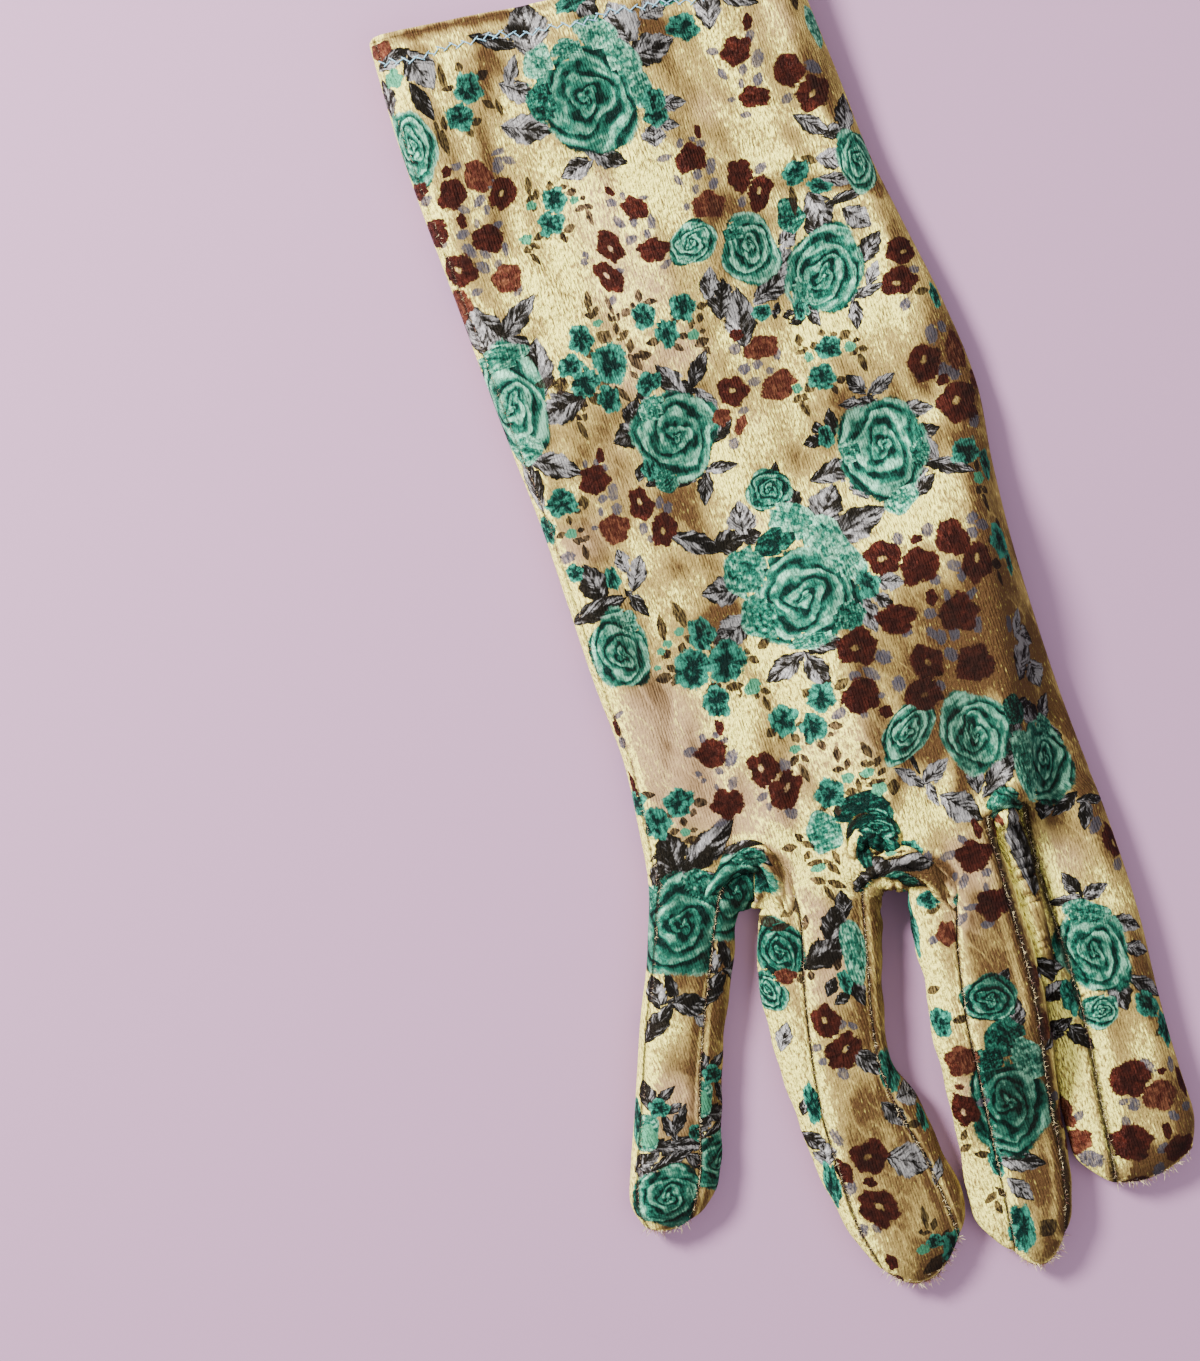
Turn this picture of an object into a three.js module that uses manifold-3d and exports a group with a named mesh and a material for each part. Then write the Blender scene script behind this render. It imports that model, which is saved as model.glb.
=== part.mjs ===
// A short velvet dress glove for the right hand, lying flat with the back of the hand up
// and the thumb tucked under the palm. Millimetres: +Y runs from the fingertips to the cuff,
// +X points to the index finger side, +Z is up, and the glove rests on z = 0.

import * as THREE from "three";
import * as BufferGeometryUtils from "three/addons/utils/BufferGeometryUtils.js";
import Module from "manifold-3d";

const wasm = await Module();
wasm.setup();

// Driving dimensions
const wall = 1.2;               // velvet pile and its knitted backing
const gap = 0.3;                // between neighbouring pieces
const seamGap = 0.5;            // between a strip's edge and the side cloth sewn to it
const hemGap = 0.45;            // between the cuff and its turned-in hem
const mouthGap = 0.55;          // between the palm and the thumb sewn into its hole
const puff = 9.0;               // height of the lying hand, from outside to outside
const cuffPuff = 12.0;          // height of the open cuff
const cuffFlare = 42;           // length over which the cuff opens up
const handRound = 7.0;          // how far the hand's rounded edge reaches in from its fold
const fingerRound = 4.5;        // the same on a finger
const tipRound = 6.5;           // the same at a fingertip
const fingerCrown = 0.4;        // drop from the middle of a finger's back to its seams
const palmSeamShare = 0.4;      // place of the palm's seam between the back's seam and the side's fold
const hemDepth = 5.0;           // cloth turned in at the cuff
const hemWall = 1.0;
const thumbPuff = 8.2;          // height of the flattened thumb
const thumbTipRound = 9;
const thumbLift = 8.6;          // how far the thumb raises the palm that lies on it
const liftStartY = 38;          // the palm starts to rise here and is fully raised at y = 0
const liftSpread = 11;          // width of the slope from the raised palm to the flat
const backSpread = 20;          // the same on the back, which drapes more gently
const fingerLiftEndY = -112;    // the middle finger, raised by the thumb's tip, is down here
const fingerLiftFade = 28;
const centre = { x: -9.14, y: 2.7 };

const velvet = { back: "#c3a577", palm: "#b99a6c", side: "#c9ad74", hem: "#a98b62", thumb: "#bd9f70" };

// Each table has one named row for each section, fold or station
const table = (columns, ...rows) =>
  rows.map((row) => Object.fromEntries(columns.map((name, i) => [name, row[i]])));

// Outline of the hand from the cuff to the crotches: its little-finger and index-finger edges
const hand = table(["y", "ulnar", "radial"],
  [142, -43.9, 41.0],
  [121, -44.7, 41.9],
  [104, -44.5, 43.1],
  [88, -43.9, 44.0],
  [72, -43.4, 46.2],
  [56, -42.8, 48.6],
  [38, -41.9, 49.9],
  [22, -41.8, 47.8],
  [5, -41.8, 46.3],
  [-12, -41.2, 46.0],
  [-25, -42.5, 46.0],
  [-37, -44.3, 46.4],
  [-50, -48.6, 47.1]);

// Sections of each finger from its crotch to its tip. left and right are the ends of the back's
// strip, side is how far the cloth stands out beyond them, 0 where the back meets the palm itself.
const fingerColumns = ["leftX", "leftY", "rightX", "rightY", "leftSide", "rightSide"];
const fingers = {
  pinky: table(fingerColumns,
    [-44.3, -37.0, -22.8, -36.9, 0, 4.4],
    [-45.6, -41.3, -28.4, -39.0, 0, 4.4],
    [-47.4, -46.0, -32.2, -44.3, 0, 4.2],
    [-50.2, -53.2, -36.2, -52.5, 0, 4.6],
    [-54.2, -61.6, -41.0, -62.8, 0, 4.6],
    [-58.0, -70.9, -45.6, -73.4, 0, 4.4],
    [-61.9, -80.5, -49.1, -83.2, 0, 4.6],
    [-65.6, -89.4, -51.9, -92.2, 0, 4.2],
    [-67.9, -96.2, -54.6, -98.2, 0, 3.6],
    [-66.8, -101.2, -57.6, -102.4, 0, 1.8]),
  ring: table(fingerColumns,
    [-22.8, -36.9, 2.5, -47.3, 5.0, 2.2],
    [-18.9, -41.0, -2.6, -48.6, 5.5, 2.4],
    [-17.3, -46.7, -4.6, -52.4, 6.8, 3.4],
    [-17.8, -53.9, -6.0, -57.6, 9.0, 3.8],
    [-20.6, -63.5, -7.9, -65.4, 9.0, 3.3],
    [-23.0, -74.0, -10.3, -74.6, 7.8, 2.9],
    [-24.8, -83.5, -12.0, -84.5, 6.2, 2.7],
    [-26.0, -93.5, -11.6, -94.2, 4.9, 5.0],
    [-26.3, -104.5, -9.4, -104.8, 3.8, 4.0],
    [-26.0, -115.0, -8.2, -115.2, 2.4, 4.0],
    [-23.8, -124.2, -8.0, -122.6, 1.6, 2.2]),
  middle: table(fingerColumns,
    [2.5, -47.3, 28.0, -42.6, 3.0, 1.6],
    [8.4, -50.4, 23.6, -43.9, 4.6, 1.6],
    [12.0, -54.6, 22.5, -47.6, 8.2, 1.6],
    [11.9, -59.7, 22.3, -53.4, 9.4, 1.7],
    [10.0, -65.6, 21.9, -61.0, 8.2, 2.2],
    [8.2, -73.5, 21.5, -71.0, 7.0, 2.4],
    [6.5, -83.0, 20.6, -82.0, 7.0, 2.4],
    [5.6, -93.5, 18.7, -93.8, 6.8, 2.4],
    [4.8, -104.0, 17.4, -104.8, 6.5, 2.2],
    [3.9, -114.0, 16.4, -114.4, 7.0, 1.8],
    [2.9, -122.5, 14.6, -122.6, 6.2, 1.8],
    [2.4, -129.0, 12.0, -129.0, 3.0, 1.6]),
  index: table(fingerColumns,
    [28.0, -42.6, 46.6, -43.0, 1.6, 0],
    [31.0, -44.4, 46.9, -47.0, 1.6, 0],
    [30.7, -49.0, 47.1, -52.0, 1.6, 0],
    [30.4, -57.0, 47.2, -59.0, 3.4, 0],
    [30.2, -66.0, 47.2, -67.0, 5.4, 0],
    [30.1, -76.0, 46.8, -76.5, 5.6, 0],
    [29.8, -86.5, 45.8, -87.0, 6.3, 0],
    [28.9, -96.0, 45.2, -96.5, 7.2, 0],
    [27.5, -106.5, 44.9, -106.0, 7.6, 0],
    [26.4, -115.5, 44.7, -114.8, 7.0, 0],
    [25.6, -122.4, 42.4, -120.8, 2.4, 0]),
};
const fingerNames = Object.keys(fingers);
const tipBulge = { pinky: 2.0, ring: 6.4, middle: 5.0, index: 2.6 };
const tipHeight = { pinky: 8.2, ring: 8.4, middle: 8.4, index: 8.6 };

// Where the cloth between two fingers folds at the crotch: how far it stands forward of the seam
const slots = table(["name", "left", "right", "reach", "fade"],
  ["fourchette_pinky_ring", "pinky", "ring", 9.8, 18],
  ["fourchette_ring_middle", "ring", "middle", 5.0, 18],
  ["fourchette_middle_index", "middle", "index", 1.7, 8]);

// Centre line of the thumb under the palm, with its half width
const thumb = table(["x", "y", "half"],
  [24.4, 37, 4.0],
  [24.4, 31, 8.6],
  [24.3, 22, 11.6],
  [23.6, 9, 13.2],
  [22.1, -6, 13.2],
  [20.3, -19, 12.8],
  [18.5, -32, 12.0],
  [16.5, -47, 10.8],
  [15.0, -61, 10.0],
  [14.1, -72, 9.4],
  [13.8, -80, 8.6]);
const fullThumbRow = 3;         // from this row of the table on the thumb has its full width
const mouthRearY = 37;
const mouthFrontY = -29;        // front end of the thumb hole
const mouthNarrowY = -11;       // from here the hole's sides draw in to its front end
const roofStartY = -9;          // from here the thumb's upper side reaches in under the palm
const roofFade = 14;            // length over which it comes up to full height
const thumbBend = 0.7;          // roundness of the thumb's section, 1 for an ellipse, less is boxier

// Soft folds and dents of the back: a line, how wide it spreads and how far it rises
const folds = table(["fromX", "fromY", "toX", "toY", "spread", "rise"],
  [-24, -30, -30, 12, 5.5, -1.1],
  [0, -42, -8, 2, 5.5, -1.3],
  [26, -36, 12, 14, 6.0, -0.9],
  [-12, -24, -20, 34, 8.0, 0.9],
  [-34, 30, 18, 62, 9.0, -1.2],
  [47, 40, 10, 30, 6.0, -1.1],
  [-30, 112, -8, 66, 8.0, -1.0],
  [18, 118, 26, 64, 8.0, -1.0],
  [-6, 128, 4, 84, 8.0, 0.8]);

const clamp = (value, low = 0, high = 1) => Math.min(Math.max(value, low), high);
const ease = (value) => clamp(value) ** 2 * (3 - 2 * clamp(value));
const mix = (a, b, share) => a + (b - a) * share;

// Smooth curve through one column of a table, at a station counted in rows
function follow(rows, column, station) {
  const last = rows.length - 1;
  const row = clamp(Math.floor(station), 0, last - 1);
  const f = station - row;
  const [a, b, c, d] = [-1, 0, 1, 2].map((k) => rows[clamp(row + k, 0, last)][column]);
  const bend = (2 * a - 5 * b + 4 * c - d) * f ** 2 + (3 * b - a - 3 * c + d) * f ** 3;
  return 0.5 * (2 * b + (c - a) * f + bend);
}

// Station of a height y in a table whose y falls from row to row
function stationAt(rows, y) {
  const below = rows.findIndex((row) => row.y <= y);
  if (below <= 0) return below < 0 ? rows.length - 1 : 0;
  return below - 1 + (rows[below - 1].y - y) / (rows[below - 1].y - rows[below].y);
}

const handEdge = (side, y) => follow(hand, side, stationAt(hand, y));
const cuffY = (x) => 134.3 - 0.115 * x;

// Quarter round from 0 at the edge to 1 at the distance given
const roundOff = (distance, reach) => Math.sqrt(1 - (1 - clamp(distance / reach)) ** 2);

function foldRise(x, y) {
  let rise = 0;
  for (const fold of folds) {
    const [dx, dy] = [fold.toX - fold.fromX, fold.toY - fold.fromY];
    const share = clamp(((x - fold.fromX) * dx + (y - fold.fromY) * dy) / (dx * dx + dy * dy));
    const away = Math.hypot(x - fold.fromX - share * dx, y - fold.fromY - share * dy);
    rise += fold.rise * Math.exp(-((away / fold.spread) ** 2));
  }
  return rise;
}

// How far the tucked thumb lifts the cloth above it
function thumbRise(x, y, ulnarSpread) {
  const station = stationAt(thumb, y);
  const offset = x - follow(thumb, "x", station);
  const beside = Math.abs(offset) - follow(thumb, "half", Math.max(station, fullThumbRow)) - 1;
  const spread = offset < 0 ? ulnarSpread : liftSpread;
  return thumbLift * ease((liftStartY - y) / liftStartY) * (1 - ease(beside / spread));
}

const puffAt = (y) => puff + (cuffPuff - puff) * ease(1 - (cuffY(0) - y) / cuffFlare);

// Undersides and tops of the cloth's mid surface at a place on the hand
function handLayers(x, y) {
  const low = thumbRise(x, y, liftSpread) + wall / 2;
  const high = thumbRise(x, y, backSpread) + puffAt(y) - wall / 2 + foldRise(x, y);
  return { low, high };
}

// One section of a finger: the ends of the back's strip and of the palm's, and the side folds
function fingerSection(name, station) {
  const rows = fingers[name];
  const read = (column) => follow(rows, column, station);
  const left = { x: read("leftX"), y: read("leftY") };
  const right = { x: read("rightX"), y: read("rightY") };
  const width = Math.hypot(right.x - left.x, right.y - left.y);
  const across = { x: (right.x - left.x) / width, y: (right.y - left.y) / width };
  return { left, right, across, width, leftSide: read("leftSide"), rightSide: read("rightSide") };
}

// Fold of the side cloth beside a seam point: outwards from the finger, and forward at the crotch
const sideFade = 5;
const leanFade = 8;
function sideFold(slot, name, station) {
  const isLeft = slot.left === name;
  const section = fingerSection(name, station);
  const end = isLeft ? "right" : "left";
  const seam = section[end];
  const crotch = fingerSection(name, 0)[end];
  const fromCrotch = Math.hypot(seam.x - crotch.x, seam.y - crotch.y);
  const side = (isLeft ? section.rightSide : -section.leftSide) * ease(fromCrotch / sideFade);
  const forward = slot.reach * 0.5 * (1 + Math.cos(Math.PI * clamp(fromCrotch / slot.fade)));
  const crotchLean = (fingerLean[slot.left] + fingerLean[slot.right]) / 2;
  const lean = mix(crotchLean, fingerLean[name], ease(fromCrotch / leanFade));
  return {
    seam,
    fold: {
      x: seam.x + side * Math.cos(lean) - forward * Math.sin(lean),
      y: seam.y - side * Math.sin(lean) - forward * Math.cos(lean),
    },
  };
}

const fingerLean = Object.fromEntries(fingerNames.map((name) => {
  const rows = fingers[name];
  const [base, tip] = [rows[2], rows[rows.length - 2]];
  const run = (base.leftX + base.rightX - tip.leftX - tip.rightX) / 2;
  const fall = (base.leftY + base.rightY - tip.leftY - tip.rightY) / 2;
  return [name, Math.atan2(run, fall)];
}));

const slotBeside = (name, end) => slots.find((slot) => slot[end === "left" ? "right" : "left"] === name);

// Ends of the strip that the back or the palm gives to a finger's section
function stripEnds(name, station, isPalm) {
  const section = fingerSection(name, station);
  const ends = ["left", "right"].map((end) => {
    const slot = slotBeside(name, end);
    const seam = section[end];
    if (!slot) {
      const inward = end === "left" ? wall / 2 : -wall / 2;
      return { x: seam.x + inward * section.across.x, y: seam.y + inward * section.across.y };
    }
    if (!isPalm) return seam;
    const { fold } = sideFold(slot, name, station);
    return { x: mix(seam.x, fold.x, palmSeamShare), y: mix(seam.y, fold.y, palmSeamShare) };
  });
  return { left: ends[0], right: ends[1] };
}

function fingerLift(name, y) {
  return name === "middle" ? thumbLift * ease((y - fingerLiftEndY) / fingerLiftFade) : 0;
}

// A point of the back's or the palm's mid surface on a finger
const tipRows = 2;              // the strip's end bulges forward over this many rows of its table
const blendRows = 3;            // over this many the hand's shape passes into the finger's
function fingerPoint(name, share, station, isPalm) {
  const last = fingers[name].length - 1;
  const { left, right } = stripEnds(name, station, isPalm);
  const width = Math.hypot(right.x - left.x, right.y - left.y);
  const nearTip = clamp((station - last + tipRows) / tipRows) ** 2;
  const bulge = (tipBulge[name] - wall / 2) * (1 - (2 * share - 1) ** 2) * nearTip;
  const x = mix(left.x, right.x, share) - bulge * Math.sin(fingerLean[name]);
  const y = mix(left.y, right.y, share) - bulge * Math.cos(fingerLean[name]);
  const { low, high } = fingerLayers(name, x, y, station);
  const fromLeft = slotBeside(name, "left") ? Infinity : share * width;
  const fromRight = slotBeside(name, "right") ? Infinity : (1 - share) * width;
  const reach = mix(handRound, fingerRound, clamp(station / blendRows));
  const edge = roundOff(Math.min(fromLeft, fromRight), reach);
  const round = edge * roundOff(tipDistance(name, station), tipRound);
  const crown = fingerCrown * (2 * share - 1) ** 2 * clamp(station / blendRows);
  return layerPoint(x, y, low, high - crown, round, isPalm);
}

function fingerLayers(name, x, y, station) {
  const last = fingers[name].length - 1;
  const height = mix(puff, tipHeight[name], clamp(station / last));
  const share = ease(station / blendRows);
  const field = handLayers(x, y);
  return {
    low: mix(field.low, fingerLift(name, y) + wall / 2, share),
    high: mix(field.high, fingerLift(name, y) + height - wall / 2, share),
  };
}

function tipDistance(name, station) {
  const last = fingers[name].length - 1;
  const here = fingerSection(name, station);
  const tip = fingerSection(name, last);
  return Math.hypot(here.left.x + here.right.x - tip.left.x - tip.right.x,
    here.left.y + here.right.y - tip.left.y - tip.right.y) / 2;
}

// Between the two layers, round 0 puts a point at the joined edge and round 1 on its own layer
function layerPoint(x, y, low, high, round, isPalm) {
  const middle = (low + high) / 2;
  const half = (high - low) / 2;
  const rise = gap / 2 + (half - gap / 2) * round;
  const point = new THREE.Vector3(x, y, isPalm ? middle - rise : middle + rise);
  point.isJoined = round < 0.01;
  return point;
}

// A point on the hand, on the line of cloth that runs from the cuff to a share of one finger's base
function handPoint(name, share, run, isPalm) {
  const base = fingerPoint(name, share, 0, isPalm);
  const [ulnar, radial] = [handEdge("ulnar", base.y) + wall / 2, handEdge("radial", base.y) - wall / 2];
  const baseShare = clamp((base.x - ulnar) / (radial - ulnar));
  const cuffShare = mix(cuffShares[name][0], cuffShares[name][1], share);
  const across = mix(cuffShare, baseShare, ease(run));
  const edgeY = cuffY(mix(hand[0].ulnar, hand[0].radial, cuffShare));
  const y = mix(edgeY, base.y, run);
  const [left, right] = [handEdge("ulnar", y) + wall / 2, handEdge("radial", y) - wall / 2];
  const x = mix(left, right, across);
  const { low, high } = handLayers(x, y);
  return layerPoint(x, y, low, high, roundOff(Math.min(x - left, right - x), handRound), isPalm);
}

const cuffShares = { pinky: [0, 0.235], ring: [0.235, 0.515], middle: [0.515, 0.795], index: [0.795, 1] };
const shares = {
  pinky: [0, 0.025, 0.09, 0.22, 0.42, 0.64, 0.83, 1],
  ring: [0, 0.17, 0.34, 0.5, 0.66, 0.83, 1],
  middle: [0, 0.17, 0.34, 0.5, 0.66, 0.83, 1],
  index: [0, 0.17, 0.36, 0.58, 0.78, 0.91, 0.975, 1],
};
const handRows = 16;
const fingerRows = 14;
const tipCrowding = 1.15;       // cells get shorter towards the fingertips
const fingerStation = (name, row) =>
  (fingers[name].length - 1) * (1 - (1 - row / fingerRows) ** tipCrowding);

// The back or the palm as one sheet of four-sided cells: the hand, then each finger's strip
function sheet(isPalm) {
  const cells = [];
  const addStrip = (points) => {
    for (let row = 0; row + 1 < points.length; row++) {
      for (let k = 0; k + 1 < points[row].length; k++) {
        cells.push([points[row][k], points[row + 1][k], points[row + 1][k + 1], points[row][k + 1]]);
      }
    }
  };
  for (const name of fingerNames) {
    const handPart = [];
    for (let row = 0; row < handRows; row++) {
      handPart.push(shares[name].map((share) => handPoint(name, share, row / handRows, isPalm)));
    }
    const fingerPart = [];
    for (let row = 0; row <= fingerRows; row++) {
      const station = fingerStation(name, row);
      fingerPart.push(shares[name].map((share) => fingerPoint(name, share, station, isPalm)));
    }
    addStrip([...handPart, ...fingerPart]);
  }
  return cells;
}

// Closed solid of the wall's thickness round a sheet of cells
function thicken(cells, thickness, normalAt) {
  const points = [];
  const keys = new Map();
  const place = (point) => {
    const key = [point.x, point.y, point.z].map((value) => Math.round(value * 2000)).join();
    if (!keys.has(key)) {
      keys.set(key, points.length);
      points.push(point);
    }
    return keys.get(key);
  };
  const triangles = [];
  for (const cell of cells) {
    const corners = cell.map(place);
    for (const [a, b, c] of [[0, 1, 2], [0, 2, 3]]) {
      const triangle = [corners[a], corners[b], corners[c]];
      if (new Set(triangle).size === 3) triangles.push(triangle);
    }
  }
  const normals = points.map(() => new THREE.Vector3());
  for (const [a, b, c] of triangles) {
    const normal = new THREE.Vector3().subVectors(points[b], points[a])
      .cross(new THREE.Vector3().subVectors(points[c], points[a]));
    for (const corner of [a, b, c]) normals[corner].add(normal);
  }
  normals.forEach((normal, i) => {
    if (points[i].isJoined) normal.z = 0;
    normal.normalize();
    if (normalAt) normal.copy(normalAt(points[i], normal));
  });
  const shift = (side) =>
    points.map((point, i) => point.clone().addScaledVector(normals[i], side * thickness / 2));
  const positions = [...shift(1), ...shift(-1)];
  const inner = points.length;
  const edges = new Set(triangles.flatMap(([a, b, c]) => [`${a},${b}`, `${b},${c}`, `${c},${a}`]));
  const indices = [];
  for (const [a, b, c] of triangles) {
    indices.push(a, b, c, a + inner, c + inner, b + inner);
    for (const [from, to] of [[a, b], [b, c], [c, a]]) {
      if (edges.has(`${to},${from}`)) continue;
      indices.push(to, from, from + inner, to, from + inner, to + inner);
    }
  }
  const geometry = new THREE.BufferGeometry();
  const values = positions.flatMap((point) => [point.x, point.y, point.z]);
  geometry.setAttribute("position", new THREE.Float32BufferAttribute(values, 3));
  geometry.setIndex(indices);
  return geometry;
}

function toManifold(geometry) {
  const plain = geometry.clone();
  plain.deleteAttribute("normal");
  plain.deleteAttribute("uv");
  const merged = BufferGeometryUtils.mergeVertices(plain, 1e-5);
  return new wasm.Manifold(new wasm.Mesh({
    numProp: 3,
    vertProperties: new Float32Array(merged.attributes.position.array),
    triVerts: new Uint32Array(merged.index.array),
  }));
}

function fromManifold(solid) {
  const mesh = solid.getMesh();
  const geometry = new THREE.BufferGeometry();
  geometry.setAttribute("position", new THREE.BufferAttribute(mesh.vertProperties, 3));
  geometry.setIndex(new THREE.BufferAttribute(mesh.triVerts, 1));
  return geometry;
}

// Half width of the thumb hole, with the room given all round
function mouthHalf(y, room) {
  const body = follow(thumb, "half", stationAt(thumb, y)) + room;
  const run = clamp((mouthNarrowY - y) / (mouthNarrowY - mouthFrontY + room));
  return body * Math.sqrt(1 - run ** 2);
}

// Upright prism that cuts the thumb hole out of the palm, from below the glove to above it
function thumbHole() {
  const steps = 16;
  const [bottomZ, topZ] = [-5, 25];
  const outline = [];
  for (const side of [1, -1]) {
    for (let k = 0; k <= steps; k++) {
      const share = side === 1 ? k / steps : 1 - k / steps;
      const y = mix(mouthRearY + wall / 2 + mouthGap, mouthFrontY - mouthGap, share);
      const x = follow(thumb, "x", stationAt(thumb, y));
      outline.push(new THREE.Vector2(x + side * mouthHalf(y, mouthGap), y));
    }
  }
  const depth = topZ - bottomZ;
  const prism = new THREE.ExtrudeGeometry(new THREE.Shape(outline), { depth, bevelEnabled: false });
  prism.translate(0, 0, bottomZ);
  return prism;
}

// The thumb's pouch: sections from the rear of its mouth to its rounded tip
function thumbCells() {
  const rows = 26;
  const around = 12;
  const rowCrowding = 1.5;
  const last = thumb.length - 1;
  const sections = [];
  for (let row = 0; row <= rows; row++) {
    const station = last * (1 - (1 - row / rows) ** rowCrowding);
    const axisX = follow(thumb, "x", station);
    const axisY = follow(thumb, "y", station);
    const tip = roundOff(axisY - thumb[last].y, thumbTipRound);
    const body = (follow(thumb, "half", station) - wall / 2) * tip;
    const rim = axisY > mouthFrontY ? Math.min(mouthHalf(axisY, -wall / 2), body) : 0;
    const raised = thumbRise(axisX + body, axisY, liftSpread) + wall / 2;
    const rimZ = Math.min(raised, thumbPuff - wall / 2);
    const closing = ease((roofStartY - axisY) / roofFade);
    const middle = mix(rimZ, thumbPuff / 2, closing);
    const roof = Math.max(rimZ - middle, 0);
    const floor = middle - wall / 2;
    const rimShare = clamp(rim / Math.max(body, wall));
    const rimAngle = closing > 0 ? Math.acos(rimShare ** (1 / thumbBend)) : 0;
    const points = [];
    for (let k = 0; k <= around; k++) {
      const turn = 2 * k / around - 1;
      const angle = mix(-Math.PI / 2, rimAngle, Math.abs(turn));
      const side = Math.sign(turn) * body * Math.abs(Math.cos(angle)) ** thumbBend;
      const lift = Math.sign(angle) * Math.abs(Math.sin(angle)) ** thumbBend;
      points.push(new THREE.Vector3(axisX + side, axisY, middle + lift * (lift < 0 ? floor : roof) * tip));
    }
    sections.push(points);
  }
  return stitch(sections);
}

function stitch(sections) {
  const cells = [];
  for (let row = 0; row + 1 < sections.length; row++) {
    for (let k = 0; k + 1 < sections[row].length; k++) {
      cells.push([sections[row][k], sections[row][k + 1], sections[row + 1][k + 1], sections[row + 1][k]]);
    }
  }
  return cells;
}

// The side strip between two fingers: from one tip round the crotch to the other tip
function fourchetteCells(slot) {
  const normals = new Map();
  const stations = [];
  const endRow = fingerRows - 1;
  for (let row = endRow; row >= 0; row--) stations.push([slot.left, row]);
  for (let row = 1; row <= endRow; row++) stations.push([slot.right, row]);
  const across = 5;
  const leastDepth = 0.3;
  const sections = stations.map(([name, row]) => {
    const station = fingerStation(name, row);
    const { seam, fold } = sideFold(slot, name, station);
    const out = Math.hypot(fold.x - seam.x, fold.y - seam.y);
    const direction = { x: (fold.x - seam.x) / out, y: (fold.y - seam.y) / out };
    const share = name === slot.left ? 1 : 0;
    const top = fingerPoint(name, share, station, false).z;
    const bottom = fingerPoint(name, share, station, true).z;
    const middle = (top + bottom) / 2;
    const half = (top - bottom) / 2;
    const palmSeam = palmSeamShare * out;
    const points = [];
    for (let k = 0; k <= across; k++) {
      const turn = Math.PI * k / across;
      const from = turn < Math.PI / 2 ? 0 : palmSeam;
      const depth = Math.max(out - wall / 2 - seamGap - from, leastDepth);
      const reach = from + seamGap + depth * Math.sin(turn);
      const point = new THREE.Vector3(seam.x + reach * direction.x, seam.y + reach * direction.y,
        middle + half * Math.cos(turn));
      const flat = half * Math.sin(turn);
      const normal = new THREE.Vector3(direction.x * flat, direction.y * flat, depth * Math.cos(turn));
      normals.set(point, normal.normalize());
      points.push(point);
    }
    return points;
  });
  return { cells: stitch(sections), normals };
}

// The turned-in hem: one flattened ring inside the cuff
function hemCells() {
  const rows = 2;
  const around = 22;
  const edgeCrowding = 0.7;
  const setBack = 0.2;
  const inset = wall / 2 + hemGap + hemWall / 2;
  const sections = [];
  for (let row = 0; row <= rows; row++) {
    const ring = [];
    for (let k = 0; k < 2 * around; k++) {
      const isPalm = k >= around;
      const turn = (isPalm ? 2 * around - k : k) / around;
      const share = mix(turn, 0.5 - 0.5 * Math.cos(Math.PI * turn), edgeCrowding);
      const edgeY = cuffY(mix(hand[0].ulnar, hand[0].radial, share));
      const y = edgeY - setBack - hemDepth * row / rows;
      const left = handEdge("ulnar", y) + wall / 2 + inset;
      const right = handEdge("radial", y) - wall / 2 - inset;
      const x = mix(left, right, share);
      const { low, high } = handLayers(x, y);
      const middle = (low + high) / 2;
      const rise = ((high - low) / 2 - inset) * roundOff(Math.min(x - left, right - x), handRound - inset);
      ring.push(new THREE.Vector3(x, y, isPalm ? middle - rise : middle + rise));
    }
    ring.push(ring[0]);
    sections.push(ring);
  }
  return stitch(sections);
}

function material(color) {
  return new THREE.MeshStandardMaterial({ color, roughness: 0.85, metalness: 0 });
}

const glove = new THREE.Group();
glove.position.set(-centre.x, -centre.y, 0);

function addPiece(name, geometry, color) {
  const mesh = new THREE.Mesh(geometry, material(color));
  mesh.name = name;
  glove.add(mesh);
}

addPiece("back", thicken(sheet(false), wall), velvet.back);
const palmSheet = toManifold(thicken(sheet(true), wall));
addPiece("palm", fromManifold(palmSheet.subtract(toManifold(thumbHole()))), velvet.palm);
addPiece("thumb", thicken(thumbCells(), wall), velvet.thumb);
for (const slot of slots) {
  const { cells, normals } = fourchetteCells(slot);
  addPiece(slot.name, thicken(cells, wall, (point, normal) => {
    const exact = normals.get(point);
    return exact.dot(normal) < 0 ? exact.clone().negate() : exact;
  }), velvet.side);
}
addPiece("cuff_hem", thicken(hemCells(), hemWall), velvet.hem);

export default glove;
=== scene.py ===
# Table, light and camera
# The glove lies on a plain pale table, under a soft window lamp and a weaker fill. The camera
# looks straight down and is turned, so that the cuff is at the top and leans to the left.
import math

import bpy
import numpy as np
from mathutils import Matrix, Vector
from mathutils.kdtree import KDTree


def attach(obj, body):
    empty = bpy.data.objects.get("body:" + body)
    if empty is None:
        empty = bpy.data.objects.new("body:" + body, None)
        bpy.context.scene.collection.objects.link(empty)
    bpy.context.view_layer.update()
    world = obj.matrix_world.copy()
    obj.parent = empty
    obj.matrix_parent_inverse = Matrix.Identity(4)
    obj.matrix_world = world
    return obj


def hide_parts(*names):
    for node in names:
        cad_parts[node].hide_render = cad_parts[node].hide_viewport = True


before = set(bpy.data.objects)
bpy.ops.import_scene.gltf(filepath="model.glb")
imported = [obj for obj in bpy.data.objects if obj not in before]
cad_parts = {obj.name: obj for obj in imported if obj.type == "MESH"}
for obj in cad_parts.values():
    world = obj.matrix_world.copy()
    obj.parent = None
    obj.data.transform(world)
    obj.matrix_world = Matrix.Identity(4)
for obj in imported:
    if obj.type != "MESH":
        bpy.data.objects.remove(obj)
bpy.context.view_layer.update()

glove_turn = math.radians(18.5)
sensor_height = 24
frame_height = 0.2722
camera_height = 0.65
frame_centre = Vector((-0.03136, 0.0023, 0.0045))


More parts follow.
